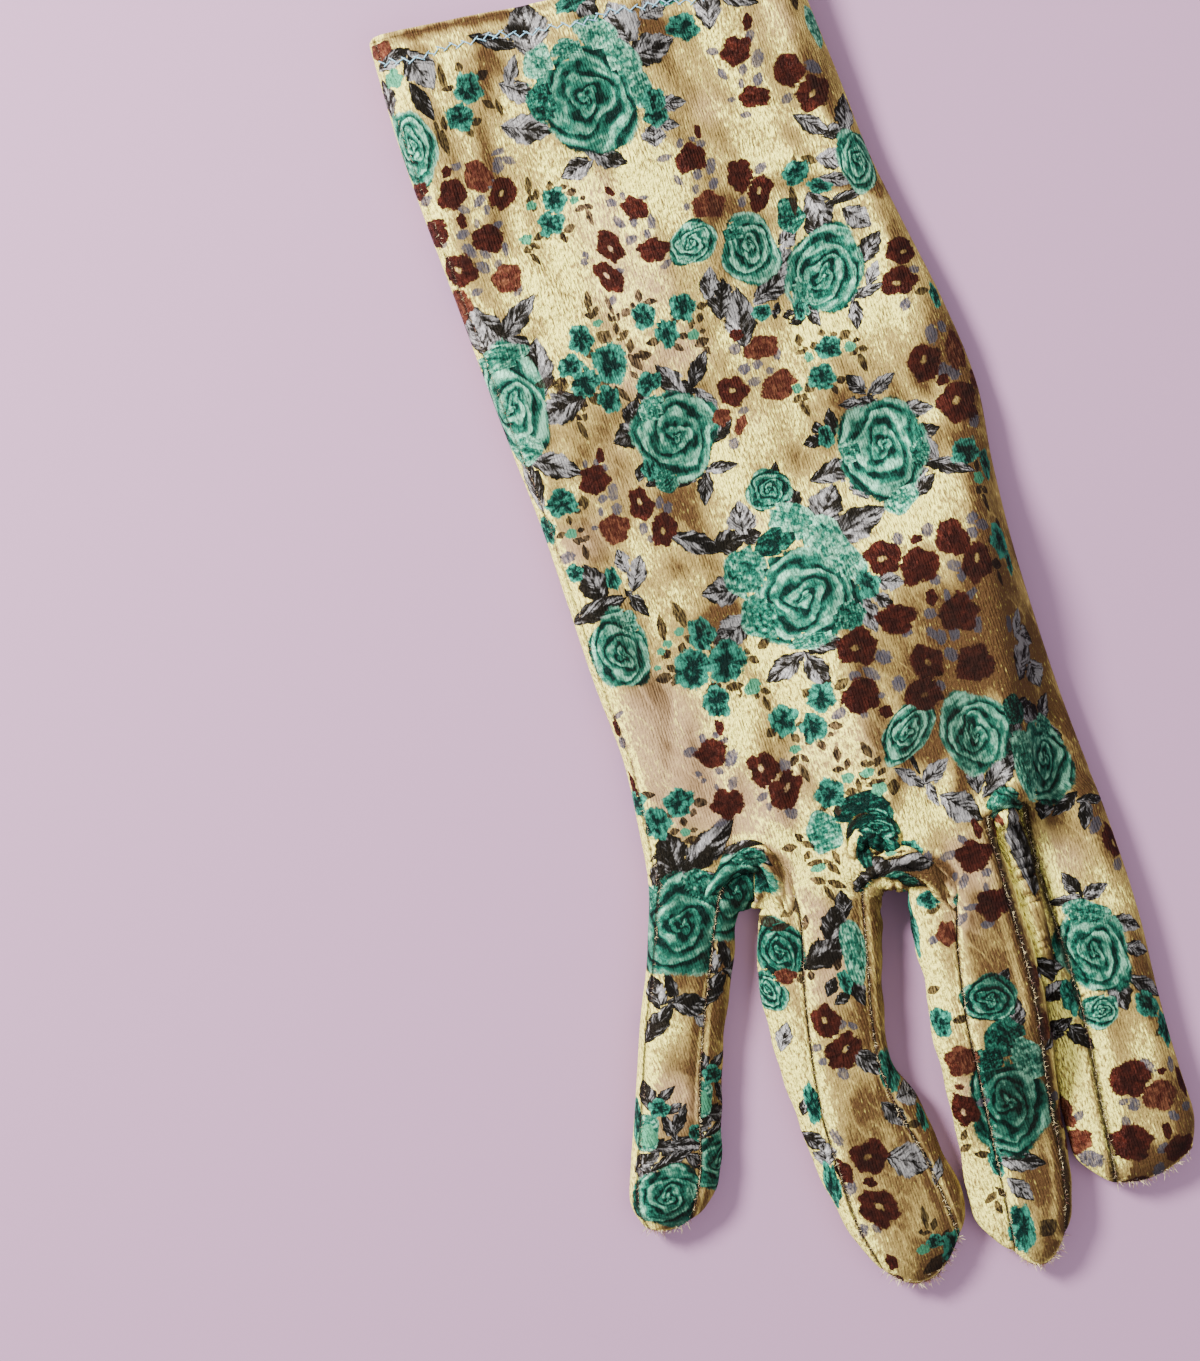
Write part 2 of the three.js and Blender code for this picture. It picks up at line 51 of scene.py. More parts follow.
def turned(right, up):
    return Vector((right * math.cos(glove_turn) + up * math.sin(glove_turn),
                   up * math.cos(glove_turn) - right * math.sin(glove_turn), 0))


camera_data = bpy.data.cameras.new("camera")
camera_data.sensor_fit = "VERTICAL"
camera_data.sensor_height = sensor_height
camera_data.lens = sensor_height * camera_height / frame_height
camera_data.clip_end = 10
camera = bpy.data.objects.new("camera", camera_data)
camera.location = frame_centre + Vector((0, 0, camera_height))
camera.rotation_euler = (0, 0, -glove_turn)
bpy.context.collection.objects.link(camera)
bpy.context.scene.camera = camera


def add_lamp(name, right, up, height, size, watts, colour):
    data = bpy.data.lights.new(name, "AREA")
    data.shape = "DISK"
    data.size = size
    data.energy = watts
    data.color = colour
    lamp = bpy.data.objects.new(name, data)
    lamp.location = turned(right, up) + Vector((0, 0, height))
    lamp.rotation_euler = (-lamp.location).to_track_quat("-Z", "Y").to_euler()
    bpy.context.collection.objects.link(lamp)


add_lamp("window lamp", right=-0.55, up=0.32, height=0.55, size=0.24, watts=28.9,
         colour=(1.0, 0.985, 0.96))
add_lamp("fill lamp", right=0.5, up=-0.2, height=0.9, size=0.9, watts=6.1,
         colour=(0.97, 0.97, 1.0))

world = bpy.data.worlds.new("studio")
world.use_nodes = True
studio_light = world.node_tree.nodes["Background"]
studio_light.inputs["Color"].default_value = (0.95, 0.95, 1.0, 1)
studio_light.inputs["Strength"].default_value = 1.0
bpy.context.scene.world = world


def new_material(name):
    material = bpy.data.materials.new(name)
    material.use_nodes = True
    return material, material.node_tree, material.node_tree.nodes["Principled BSDF"]


table_half = 3
table_corners = [(x * table_half, y * table_half, 0)
                 for x, y in ((-1, -1), (1, -1), (1, 1), (-1, 1))]
table_mesh = bpy.data.meshes.new("table")
table_mesh.from_pydata(table_corners, [], [(0, 1, 2, 3)])
table = bpy.data.objects.new("table", table_mesh)
bpy.context.collection.objects.link(table)
table_paint, _, table_shader = new_material("table paint")
table_shader.inputs["Base Color"].default_value = (0.294, 0.164, 0.260, 1)
table_shader.inputs["Roughness"].default_value = 0.9
table_mesh.materials.append(table_paint)


# Trank: the back and the palm
# One piece of printed stretch velvet folded along the index finger's edge. It gives the back,
# the palm and the front and back of all four fingers, and is seamed along the little finger's
# edge and round each fingertip. Sizes are in millimetres until the mesh is made.
wall = 1.2
puff = 9.0  # height of the lying hand over all
cuff_puff = 12.0
cuff_flare = 42  # the cuff opens up over this length
hand_round = 7.0  # reach of the hand's rounded edge
finger_round = 4.5
tip_round = 6.5
finger_crown = 0.4
palm_seam_share = 0.4  # where the palm's seam lies across a side strip
thumb_puff = 8.2
thumb_lift = 8.6  # the thumb raises the palm by this much
thumb_margin = 1
lift_start = 38  # the palm rises from here on
lift_spread = 11  # width of the slope beside the thumb
back_spread = 20  # and on the back, which drapes more gently
finger_lift_end = -112  # the middle finger is off the thumb's tip here
finger_lift_fade = 28
side_fade = 5  # a side strip reaches its width over this length
lean_fade = 8
blend_rows = 3  # rows from the hand's shape to the finger's
bulge_rows = 2
glove_centre = np.array([-9.14, 2.7, 0.0])


def columns(names, *rows):
    """A table, as a list of numbers for each named column."""
    return {name: np.array(column, float) for name, column in zip(names.split(), zip(*rows))}


hand = columns("y ulnar radial",
               (142, -43.9, 41.0), (121, -44.7, 41.9), (104, -44.5, 43.1), (88, -43.9, 44.0),
               (72, -43.4, 46.2), (56, -42.8, 48.6), (38, -41.9, 49.9), (22, -41.8, 47.8),
               (5, -41.8, 46.3), (-12, -41.2, 46.0), (-25, -42.5, 46.0), (-37, -44.3, 46.4),
               (-50, -48.6, 47.1))
finger_columns = "left_x left_y right_x right_y left_side right_side"
fingers = {
    "pinky": columns(
        finger_columns,
        (-44.3, -37.0, -22.8, -36.9, 0, 4.4), (-45.6, -41.3, -28.4, -39.0, 0, 4.4),
        (-47.4, -46.0, -32.2, -44.3, 0, 4.2), (-50.2, -53.2, -36.2, -52.5, 0, 4.6),
        (-54.2, -61.6, -41.0, -62.8, 0, 4.6), (-58.0, -70.9, -45.6, -73.4, 0, 4.4),
        (-61.9, -80.5, -49.1, -83.2, 0, 4.6), (-65.6, -89.4, -51.9, -92.2, 0, 4.2),
        (-67.9, -96.2, -54.6, -98.2, 0, 3.6), (-66.8, -101.2, -57.6, -102.4, 0, 1.8)),
    "ring": columns(
        finger_columns,
        (-22.8, -36.9, 2.5, -47.3, 5.0, 2.2), (-18.9, -41.0, -2.6, -48.6, 5.5, 2.4),
        (-17.3, -46.7, -4.6, -52.4, 6.8, 3.4), (-17.8, -53.9, -6.0, -57.6, 9.0, 3.8),
        (-20.6, -63.5, -7.9, -65.4, 9.0, 3.3), (-23.0, -74.0, -10.3, -74.6, 7.8, 2.9),
        (-24.8, -83.5, -12.0, -84.5, 6.2, 2.7), (-26.0, -93.5, -11.6, -94.2, 4.9, 5.0),
        (-26.3, -104.5, -9.4, -104.8, 3.8, 4.0), (-26.0, -115.0, -8.2, -115.2, 2.4, 4.0),
        (-23.8, -124.2, -8.0, -122.6, 1.6, 2.2)),
    "middle": columns(
        finger_columns,
        (2.5, -47.3, 28.0, -42.6, 3.0, 1.6), (8.4, -50.4, 23.6, -43.9, 4.6, 1.6),
        (12.0, -54.6, 22.5, -47.6, 8.2, 1.6), (11.9, -59.7, 22.3, -53.4, 9.4, 1.7),
        (10.0, -65.6, 21.9, -61.0, 8.2, 2.2), (8.2, -73.5, 21.5, -71.0, 7.0, 2.4),
        (6.5, -83.0, 20.6, -82.0, 7.0, 2.4), (5.6, -93.5, 18.7, -93.8, 6.8, 2.4),
        (4.8, -104.0, 17.4, -104.8, 6.5, 2.2), (3.9, -114.0, 16.4, -114.4, 7.0, 1.8),
        (2.9, -122.5, 14.6, -122.6, 6.2, 1.8), (2.4, -129.0, 12.0, -129.0, 3.0, 1.6)),
    "index": columns(
        finger_columns,
        (28.0, -42.6, 46.6, -43.0, 1.6, 0), (31.0, -44.4, 46.9, -47.0, 1.6, 0),
        (30.7, -49.0, 47.1, -52.0, 1.6, 0), (30.4, -57.0, 47.2, -59.0, 3.4, 0),
        (30.2, -66.0, 47.2, -67.0, 5.4, 0), (30.1, -76.0, 46.8, -76.5, 5.6, 0),
        (29.8, -86.5, 45.8, -87.0, 6.3, 0), (28.9, -96.0, 45.2, -96.5, 7.2, 0),
        (27.5, -106.5, 44.9, -106.0, 7.6, 0), (26.4, -115.5, 44.7, -114.8, 7.0, 0),
        (25.6, -122.4, 42.4, -120.8, 2.4, 0)),
}
tip_bulge = {"pinky": 2.0, "ring": 6.4, "middle": 5.0, "index": 2.6}
tip_height = {"pinky": 8.2, "ring": 8.4, "middle": 8.4, "index": 8.6}
slots = {
    "fourchette_pinky_ring": {"left": "pinky", "right": "ring", "reach": 9.8, "fade": 18,
                              "left_print": (-12, -3)},
    "fourchette_ring_middle": {"left": "ring", "right": "middle", "reach": 5.0, "fade": 18,
                               "left_print": (0, 0)},
    "fourchette_middle_index": {"left": "middle", "right": "index", "reach": 1.7, "fade": 8,
                                "left_print": (0, 0)},
}
thumb_line = columns("x y half",
                     (24.4, 37, 4.0), (24.4, 31, 8.6), (24.3, 22, 11.6), (23.6, 9, 13.2),
                     (22.1, -6, 13.2), (20.3, -19, 12.8), (18.5, -32, 12.0), (16.5, -47, 10.8),
                     (15.0, -61, 10.0), (14.1, -72, 9.4), (13.8, -80, 8.6))
full_thumb_row = 3
broad_folds = columns("from_x from_y to_x to_y spread rise",
                      (-24, -30, -30, 12, 5.5, -1.1), (0, -42, -8, 2, 5.5, -1.3),
                      (26, -36, 12, 14, 6.0, -0.9), (-12, -24, -20, 34, 8.0, 0.9),
                      (-34, 30, 18, 62, 9.0, -1.2), (47, 40, 10, 30, 6.0, -1.1),
                      (-30, 112, -8, 66, 8.0, -1.0), (18, 118, 26, 64, 8.0, -1.0),
                      (-6, 128, 4, 84, 8.0, 0.8))


def ease(value):
    value = np.clip(value, 0, 1)
    return value * value * (3 - 2 * value)


def mix(a, b, share):
    return a + (b - a) * share


def follow(column, station):
    """Smooth curve through a column of a table, where a station counts its rows."""
    last = len(column) - 1
    row = np.clip(np.floor(station), 0, last - 1).astype(int)
    f = station - row
    a, b, c, d = (column[np.clip(row + k, 0, last)] for k in (-1, 0, 1, 2))
    return 0.5 * (2 * b + (c - a) * f + (2 * a - 5 * b + 4 * c - d) * f ** 2
                  + (3 * b - a - 3 * c + d) * f ** 3)


def station_at(line, y):
    return np.interp(-y, -line["y"], np.arange(len(line["y"])))


def hand_edge(side, y):
    return follow(hand[side], station_at(hand, y))


cuff_middle = 134.3
cuff_slope = 0.115


def cuff_edge(x):
    return cuff_middle - cuff_slope * x


def round_off(distance, reach):
    """From 0 at an edge to 1 further in than its reach, round as a quarter circle."""
    return np.sqrt(1 - (1 - np.clip(distance / reach, 0, 1)) ** 2)


def ridge(x, y, fold):
    dx, dy = fold["to_x"] - fold["from_x"], fold["to_y"] - fold["from_y"]
    share = np.clip(((x - fold["from_x"]) * dx + (y - fold["from_y"]) * dy)
                    / (dx * dx + dy * dy), 0, 1)
    away = np.hypot(x - fold["from_x"] - share * dx, y - fold["from_y"] - share * dy)
    return fold["rise"] * np.exp(-(away / fold["spread"]) ** 2)


def folds_at(x, y, table):
    rows = zip(*table.values())
    return sum(ridge(x, y, dict(zip(table, row))) for row in rows)


def thumb_rise(x, y, ulnar_spread):
    station = station_at(thumb_line, y)
    offset = x - follow(thumb_line["x"], station)
    half = follow(thumb_line["half"], np.maximum(station, full_thumb_row))
    beside = np.abs(offset) - half - thumb_margin
    spread = np.where(offset < 0, ulnar_spread, lift_spread)
    return thumb_lift * ease((lift_start - y) / lift_start) * (1 - ease(beside / spread))


def puff_at(y):
    return puff + (cuff_puff - puff) * ease(1 - (cuff_edge(0) - y) / cuff_flare)


def hand_layers(x, y):
    """Heights of the palm's and the back's cloth."""
    low = thumb_rise(x, y, lift_spread) + wall / 2
    high = thumb_rise(x, y, back_spread) + puff_at(y) - wall / 2 + folds_at(x, y, broad_folds)
    return low, high


def finger_section(name, station):
    rows = fingers[name]
    return {column: follow(rows[column], station) for column in rows}


def lean_of(name):
    rows = fingers[name]
    mid_x = rows["left_x"] + rows["right_x"]
    mid_y = rows["left_y"] + rows["right_y"]
    return math.atan2(mid_x[2] - mid_x[-2], mid_y[2] - mid_y[-2])


finger_lean = {name: lean_of(name) for name in fingers}


def slot_beside(name, end):
    other = "right" if end == "left" else "left"
    return next((slot for slot in slots.values() if slot[other] == name), None)


def last_row(name):
    return len(fingers[name]["left_x"]) - 1


def side_fold(slot, name, station):
    """A side strip's upper seam on one finger, and the fold down its middle."""
    is_left = slot["left"] == name
    end = "right" if is_left else "left"
    section = finger_section(name, station)
    start = finger_section(name, np.zeros(1))
    seam_x, seam_y = section[end + "_x"], section[end + "_y"]
    from_crotch = np.hypot(seam_x - start[end + "_x"], seam_y - start[end + "_y"])
    side = section[end + "_side"] * (1 if is_left else -1) * ease(from_crotch / side_fade)
    side = side * round_off(last_row(name) - station, 1.0)
    forward = slot["reach"] * 0.5 * (1 + np.cos(np.pi * np.clip(from_crotch / slot["fade"], 0, 1)))
    crotch_lean = (finger_lean[slot["left"]] + finger_lean[slot["right"]]) / 2
    lean = mix(crotch_lean, finger_lean[name], ease(from_crotch / lean_fade))
    fold_x = seam_x + side * np.cos(lean) - forward * np.sin(lean)
    fold_y = seam_y - side * np.sin(lean) - forward * np.cos(lean)
    return seam_x, seam_y, fold_x, fold_y


def strip_ends(name, station, is_palm):
    section = finger_section(name, station)
    across_x = section["right_x"] - section["left_x"]
    across_y = section["right_y"] - section["left_y"]
    width = np.hypot(across_x, across_y)
    ends = []
    for end in ("left", "right"):
        slot = slot_beside(name, end)
        x, y = section[end + "_x"], section[end + "_y"]
        if slot is None:
            inward = wall / 2 if end == "left" else -wall / 2
            x, y = x + inward * across_x / width, y + inward * across_y / width
        elif is_palm:
            _, _, fold_x, fold_y = side_fold(slot, name, station)
            x, y = mix(x, fold_x, palm_seam_share), mix(y, fold_y, palm_seam_share)
        ends.append((x, y))
    return ends


def finger_raise(name, y):
    if name != "middle":
        return np.zeros_like(y)
    return thumb_lift * ease((y - finger_lift_end) / finger_lift_fade)


def finger_layers(name, x, y, station):
    height = mix(puff, tip_height[name], np.clip(station / last_row(name), 0, 1))
    share = ease(station / blend_rows)
    low, high = hand_layers(x, y)
    raised = finger_raise(name, y)
    return (mix(low, raised + wall / 2, share),
            mix(high, raised + height - wall / 2, share))


def tip_distance(name, station):
    here, tip = finger_section(name, station), finger_section(name, np.full(1, last_row(name)))
    return np.hypot(here["left_x"] + here["right_x"] - tip["left_x"] - tip["right_x"],
                    here["left_y"] + here["right_y"] - tip["left_y"] - tip["right_y"]) / 2


def layer_height(low, high, edge, is_palm):
    middle, half = (low + high) / 2, (high - low) / 2
    return middle - half * edge if is_palm else middle + half * edge


seam_dip = 0.55  # a seam pulls the cloth in by this much
seam_spread = 1.3
seam_start = 0.6


def finger_points(name, share, station, is_palm):
    """Cloth of one finger, puffed between its seams."""
    (left_x, left_y), (right_x, right_y) = strip_ends(name, station, is_palm)
    width = np.hypot(right_x - left_x, right_y - left_y)
    near_tip = np.clip((station - last_row(name) + bulge_rows) / bulge_rows, 0, 1) ** 2
    bulge = (tip_bulge[name] - wall / 2) * (1 - (2 * share - 1) ** 2) * near_tip
    x = mix(left_x, right_x, share) - bulge * math.sin(finger_lean[name])
    y = mix(left_y, right_y, share) - bulge * math.cos(finger_lean[name])
    low, high = finger_layers(name, x, y, station)
    has_left, has_right = slot_beside(name, "left"), slot_beside(name, "right")
    from_left = np.where(has_left is not None, np.inf, share * width)
    from_right = np.where(has_right is not None, np.inf, (1 - share) * width)
    reach = mix(hand_round, finger_round, np.clip(station / blend_rows, 0, 1))
    edge = round_off(np.minimum(from_left, from_right), reach)
    edge = edge * round_off(tip_distance(name, station), tip_round)
    crown = finger_crown * (2 * share - 1) ** 2 * np.clip(station / blend_rows, 0, 1)
    dip = 0
    if has_left is not None:
        dip = dip + np.exp(-(share * width / seam_spread) ** 2)
    if has_right is not None:
        dip = dip + np.exp(-((1 - share) * width / seam_spread) ** 2)
    dip = dip * seam_dip * ease(station / seam_start)
    z = layer_height(low, high - crown, edge, is_palm)
    z = z + dip * edge * (1 if is_palm else -1)
    return np.stack(np.broadcast_arrays(x, y, z), -1)


mouth_rear = 37
mouth_front = -29
mouth_narrow = -11
mouth_snap = 0.6  # a column of the palm this close to the hole is moved to its rim
mouth_slack = 0.2


def mouth_half(y, room=0.0):
    """Half width of the hole in the palm that the thumb is sewn into."""
    body = follow(thumb_line["half"], station_at(thumb_line, y)) + room
    run = np.clip((mouth_narrow - y) / (mouth_narrow - mouth_front + room), 0, 1)
    return np.where((y < mouth_rear) & (y > mouth_front), body * np.sqrt(1 - run ** 2), 0)


def mouth_middle(y):
    return follow(thumb_line["x"], station_at(thumb_line, y))


def snap_to_mouth(x, y):
    middle, half = mouth_middle(y), mouth_half(y)
    beside = np.abs(x - middle) - half
    return np.where((np.abs(beside) < mouth_snap) & (half > 1), middle + np.sign(x - middle) * half, x)


cuff_shares = {"pinky": (0, 0.235), "ring": (0.235, 0.515), "middle": (0.515, 0.795),
               "index": (0.795, 1)}


def hand_points(name, share, run, is_palm):
    """Cloth of the hand, from the cuff down to the root of one finger."""
    base = finger_points(name, share, np.zeros_like(run), is_palm)
    base_x, base_y = base[..., 0], base[..., 1]
    ulnar = hand_edge("ulnar", base_y) + wall / 2
    radial = hand_edge("radial", base_y) - wall / 2
    base_share = np.clip((base_x - ulnar) / (radial - ulnar), 0, 1)
    is_outer = (share == 0) & (name == "pinky") | (share == 1) & (name == "index")
    base_share = np.where(is_outer, share, base_share)
    cuff_share = mix(*cuff_shares[name], share)
    across = mix(cuff_share, base_share, ease(run))
    edge_y = cuff_edge(mix(hand["ulnar"][0], hand["radial"][0], cuff_share))
    y = mix(edge_y, base_y, run)
    left, right = hand_edge("ulnar", y) + wall / 2, hand_edge("radial", y) - wall / 2
    x = mix(left, right, across)
    if is_palm:
        x = snap_to_mouth(x, y)
    low, high = hand_layers(x, y)
    edge = round_off(np.minimum(x - left, right - x), hand_round)
    return np.stack(np.broadcast_arrays(x, y, layer_height(low, high, edge, is_palm)), -1)


strip_cells = {"pinky": 23, "ring": 23, "middle": 23, "index": 25}
hand_rows = 150
finger_rows = 84
edge_crowding = 1.4  # cells get narrower towards the hand's outer edges
tip_crowding = 1.15  # and shorter towards the fingertips


def strip_shares(name):
    even = np.linspace(0, 1, strip_cells[name] + 1)
    if name == "pinky":
        return even ** edge_crowding
    if name == "index":
        return 1 - (1 - even) ** edge_crowding
    return even


def finger_stations(name):
    return last_row(name) * (1 - (1 - np.linspace(0, 1, finger_rows + 1)) ** tip_crowding)


# Fine creases: short, sharp ones at the roots of the fingers and long, slack ones on the back
creases = columns("from_x from_y to_x to_y spread rise",
                  (-33, -30, -40, -8, 2.2, -0.5), (-24, -34, -26, -12, 1.8, -0.6),
                  (-12, -40, -16, -14, 2.2, 0.5), (-3, -43, -8, -18, 1.6, -0.6),
                  (8, -44, 4, -20, 2.0, 0.5), (14, -40, 10, -10, 1.8, -0.5),
                  (28, -38, 24, -16, 1.6, -0.7), (36, -38, 32, -8, 2.6, 0.5),
                  (42, -34, 38, 10, 3.0, -0.4), (44, 26, 20, 18, 2.4, -0.5),
                  (-40, 40, -10, 58, 2.8, -0.5), (-42, 20, -24, 40, 3.0, 0.4),
                  (0, 130, -6, 96, 3.0, -0.6), (24, 128, 30, 92, 3.0, 0.6),
                  (-26, 130, -34, 96, 3.2, 0.5), (10, 72, 30, 84, 3.0, -0.5),
                  (-14, 70, -30, 96, 2.6, -0.5), (34, 56, 46, 76, 2.6, 0.4),
                  (24, 87, 46, 79, 2.0, -0.9), (26, 92, 46, 84, 2.2, 0.7),
                  (-36, -24, -28, -2, 2.0, -0.5), (-30, -34, -20, -20, 1.6, 0.6),
                  (-20, -34, -8, -24, 1.5, 0.6), (-14, -44, -11, -24, 1.6, -0.6),
                  (4, -38, 14, -22, 1.6, 0.6), (16, -42, 24, -26, 1.6, 0.5),
                  (32, -36, 40, -20, 1.8, -0.6), (-8, 60, 12, 66, 2.4, -0.5),
                  (14, 108, 34, 100, 2.6, -0.6), (-20, 110, -2, 100, 2.4, 0.5),
                  (20, 20, 42, 34, 2.4, 0.5), (-38, 70, -24, 76, 2.2, -0.5))


def crumple(x, y):
    """Slack of the stretch velvet: long soft waves that drift across each other."""
    slow = np.sin(0.13 * x + 0.031 * y + 1.4 * np.sin(0.045 * y + 0.4))
    cross = np.sin(0.071 * x - 0.055 * y + 1.1 * np.sin(0.06 * x + 1.7))
    small = np.sin(0.31 * x + 0.09 * y + 2.0 * np.sin(0.07 * y)) * np.sin(0.12 * y - 0.05 * x)
    fine = np.sin(0.74 * x + 0.3 * y + 2.6 * np.sin(0.11 * y + 0.05 * x))
    fine = fine * np.sin(0.21 * y - 0.16 * x + 1.8 * np.sin(0.09 * x))
    slack = 1 + 0.5 * ease((y - 40) / 30)
    return slack * (0.34 * slow + 0.34 * cross + 0.26 * small + 0.15 * fine)


hem_drop = 1.7
hem_roll = 4.4
groove_depth = 0.4
groove_inset = 4.8
groove_half = 0.9


def hem_curl(x, y):
    """The hem rolls down past its stitches, and the thread pulls a groove."""
    from_edge = cuff_edge(x) - y
    groove = groove_depth * np.exp(-((from_edge - groove_inset) / groove_half) ** 2)
    return -hem_drop * ease(1 - from_edge / hem_roll) - groove


finger_root = -37
soft_end = -47  # the slack of the hand has gone here
soft_fade = 8
palm_freedom = 0.25  # the palm rests on the table
edge_hold = 6  # the edges hold the cloth this far in
edge_room = 0.02


def soften(points, is_palm):
    """Adds the creases and the slack where the cloth lies free."""
    x, y, z = points[..., 0], points[..., 1], points[..., 2]
    lift = crumple(x, y) + folds_at(x, y, creases) + hem_curl(x, y)
    free = palm_freedom if is_palm else 1.0
    beside = np.maximum(y, finger_root)
    inner = np.minimum(x - hand_edge("ulnar", beside), hand_edge("radial", beside) - x)
    inner = inner - wall / 2 - edge_room
    weight = ease(inner / edge_hold) * ease((y - soft_end) / soft_fade) * free
    z = z + lift * weight
    if is_palm:
        z = np.maximum(z, wall / 2)
    return np.stack([x, y, z], -1)


pinch_rise = 0.35


def finger_wave(name, points, share, station):
    """Slight pinches across a finger, deepest along its middle."""
    phase = {"pinky": 0.3, "ring": 2.1, "middle": 4.0, "index": 5.2}[name]
    wave = np.sin(station * 2.3 + phase) * np.sin(station * 0.9 + 2 * phase)
    lift = pinch_rise * wave * np.sin(np.pi * share) * ease(station / 2)
    lift = lift * ease((last_row(name) - station) / 1.5)
    points = points.copy()
    points[..., 2] += lift
    return points


steep_step = 1.12  # a steeper step counts at its true length
fold_room = 4  # cloth in the fold between back and palm


def along_edge(name, points, is_palm):
    """Place on the flat cloth: the print runs on round the rounded edges at its true length."""
    steps = np.diff(points, axis=1)
    flat = np.hypot(steps[..., 0], steps[..., 1])
    length = np.hypot(flat, steps[..., 2])
    extra = np.where(length > steep_step * flat, length - flat, 0)
    place = points[..., :2].copy()
    if name == "index":
        place[:, 1:, 0] += np.cumsum(extra, axis=1)
    if name == "pinky":
        place[:, :-1, 0] -= np.cumsum(extra[:, ::-1], axis=1)[:, ::-1]
    if is_palm:
        fold = hand_edge("radial", np.maximum(points[..., 1], hand["y"][-1])) + fold_room
        place[..., 0] = 2 * fold - place[..., 0]
    return place


def strip_grid(name, is_palm):
    """A strip of cloth from the cuff down the hand and one finger, and its place on the cloth."""
    share = strip_shares(name)[None, :]
    run = (np.arange(hand_rows) / hand_rows)[:, None]
    station = finger_stations(name)[:, None]
    on_hand = soften(hand_points(name, share, run, is_palm), is_palm)
    on_finger = finger_wave(name, finger_points(name, share, station, is_palm), share, station)
    if not is_palm:
        on_finger = soften(on_finger, is_palm)
    points = np.concatenate([on_hand, on_finger])
    return points, along_edge(name, points, is_palm)


def grid_quads(points, place, flip=False):
    """A grid's quads, and the place of each corner on the flat cloth."""
    corners = [(0, 0), (1, 0), (1, 1), (0, 1)]
    if flip:
        corners = corners[::-1]
    rows, cols = points.shape[:2]
    quads, places = (np.stack([grid[a:rows - 1 + a, b:cols - 1 + b] for a, b in corners], 2)
                     for grid in (points, place))
    return quads.reshape(-1, 4, 3), places.reshape(-1, 4, 2)


weld_steps = 500  # steps to a millimetre
print_unit = 100  # millimetres of cloth in one unit of its map


def sewn_mesh(name, quads, places):
    """One mesh from loose quads in millimetres, welded where they meet."""
    corners = quads.reshape(-1, 3)
    keys, index = np.unique(np.round(corners * weld_steps).astype(int), axis=0,
                            return_inverse=True)
    index = index.reshape(-1)
    points = np.zeros((len(keys), 3))
    points[index] = corners
    faces, face_places = [], []
    for face, place in zip(index.reshape(-1, 4), places):
        kept = [k for k in range(4) if face[k] != face[k - 1]]
        if len(kept) > 2 and len(set(face[kept])) == len(kept):
            faces.append([int(face[k]) for k in kept])
            face_places.append(place[kept])
    mesh = bpy.data.meshes.new(name)
    mesh.from_pydata(((points - glove_centre) / 1000).tolist(), [], faces)
    uv = mesh.uv_layers.new(name="cloth")
    uv.data.foreach_set("uv", (np.concatenate(face_places) / print_unit).astype(np.float32).ravel())
    mesh.shade_smooth()
    piece = bpy.data.objects.new(name, mesh)
    bpy.context.collection.objects.link(piece)
    return piece, face_places


def give_thickness(piece):
    """The cloth's own thickness; its inside is the knitted back."""
    shell = piece.modifiers.new("cloth", "SOLIDIFY")
    shell.thickness = wall / 1000
    shell.offset = 0
    shell.material_offset = 1
    shell.use_even_offset = False


def outside_mouth(quads):
    middle = quads.mean(axis=1)
    x, y = middle[:, 0], middle[:, 1]
    return np.abs(x - mouth_middle(y)) >= mouth_half(y) - mouth_slack


# Chart of the print, in millimetres on the back of the hand and on its fingers: each
# motif's place, length, width and turn from the across direction. The last column is lightness
# for roses, petals and leaves, and the kind for blossoms and sprinkles.
motif = "x y long wide turn tone"


def of_kind(kind, *rows):
    """Rows of a chart that share a kind; where a row gives no turn, it is nought."""
    return [(*row, *[0] * (5 - len(row)), kind) for row in rows]


roses = columns(
    motif,
    (2.8, 7.6, 19, 18, 0, 0.5), (-5.6, 115.2, 20, 20.5, 0, 0.35), (9.6, -100.6, 19, 14.5, 90, 0.3),
    (-39.3, 63.3, 21, 12.6, 90, 0.75), (-10.8, 46.2, 17, 15.6, 60, 0.55), (27.2, 30.4, 20, 16, 80, 0.55),
    (28, 68.4, 16.5, 14, 50, 0.5), (15, 76.8, 13.4, 10.6, 85, 0.75), (4.4, 81.5, 9.6, 7.4, 20, 0.8),
    (40.8, 87, 12, 7, 90, 0.7), (-42, 117, 14.6, 8, 90, 0.7), (-34.8, 9.4, 14.6, 10.8, 85, 0.6),
    (3.2, 30.2, 8.6, 7.6, 0, 0.3), (13.4, -23.8, 12.8, 7.4, 35, 0.7), (26, -27.8, 15, 12.6, 95, 0.65),
    (39.4, -38.4, 15.6, 13, 80, 0.55), (35.6, -76.6, 17.4, 12.6, 100, 0.6),
    (12.2, -78.4, 10.2, 8.6, -15, 0.15), (-41.2, -46.6, 20, 18, 20, 0.3),
    (-23.6, -57, 11.4, 9.4, 90, 0.1), (-28, -64.6, 8.4, 5.6, 110, 0.4), (-60, -96.6, 13.6, 11, 0, 0.45),
    (2, -38.2, 7, 8.6, 0, 0.0), (32.8, -88.8, 7.2, 6.4, 0, 0.6))
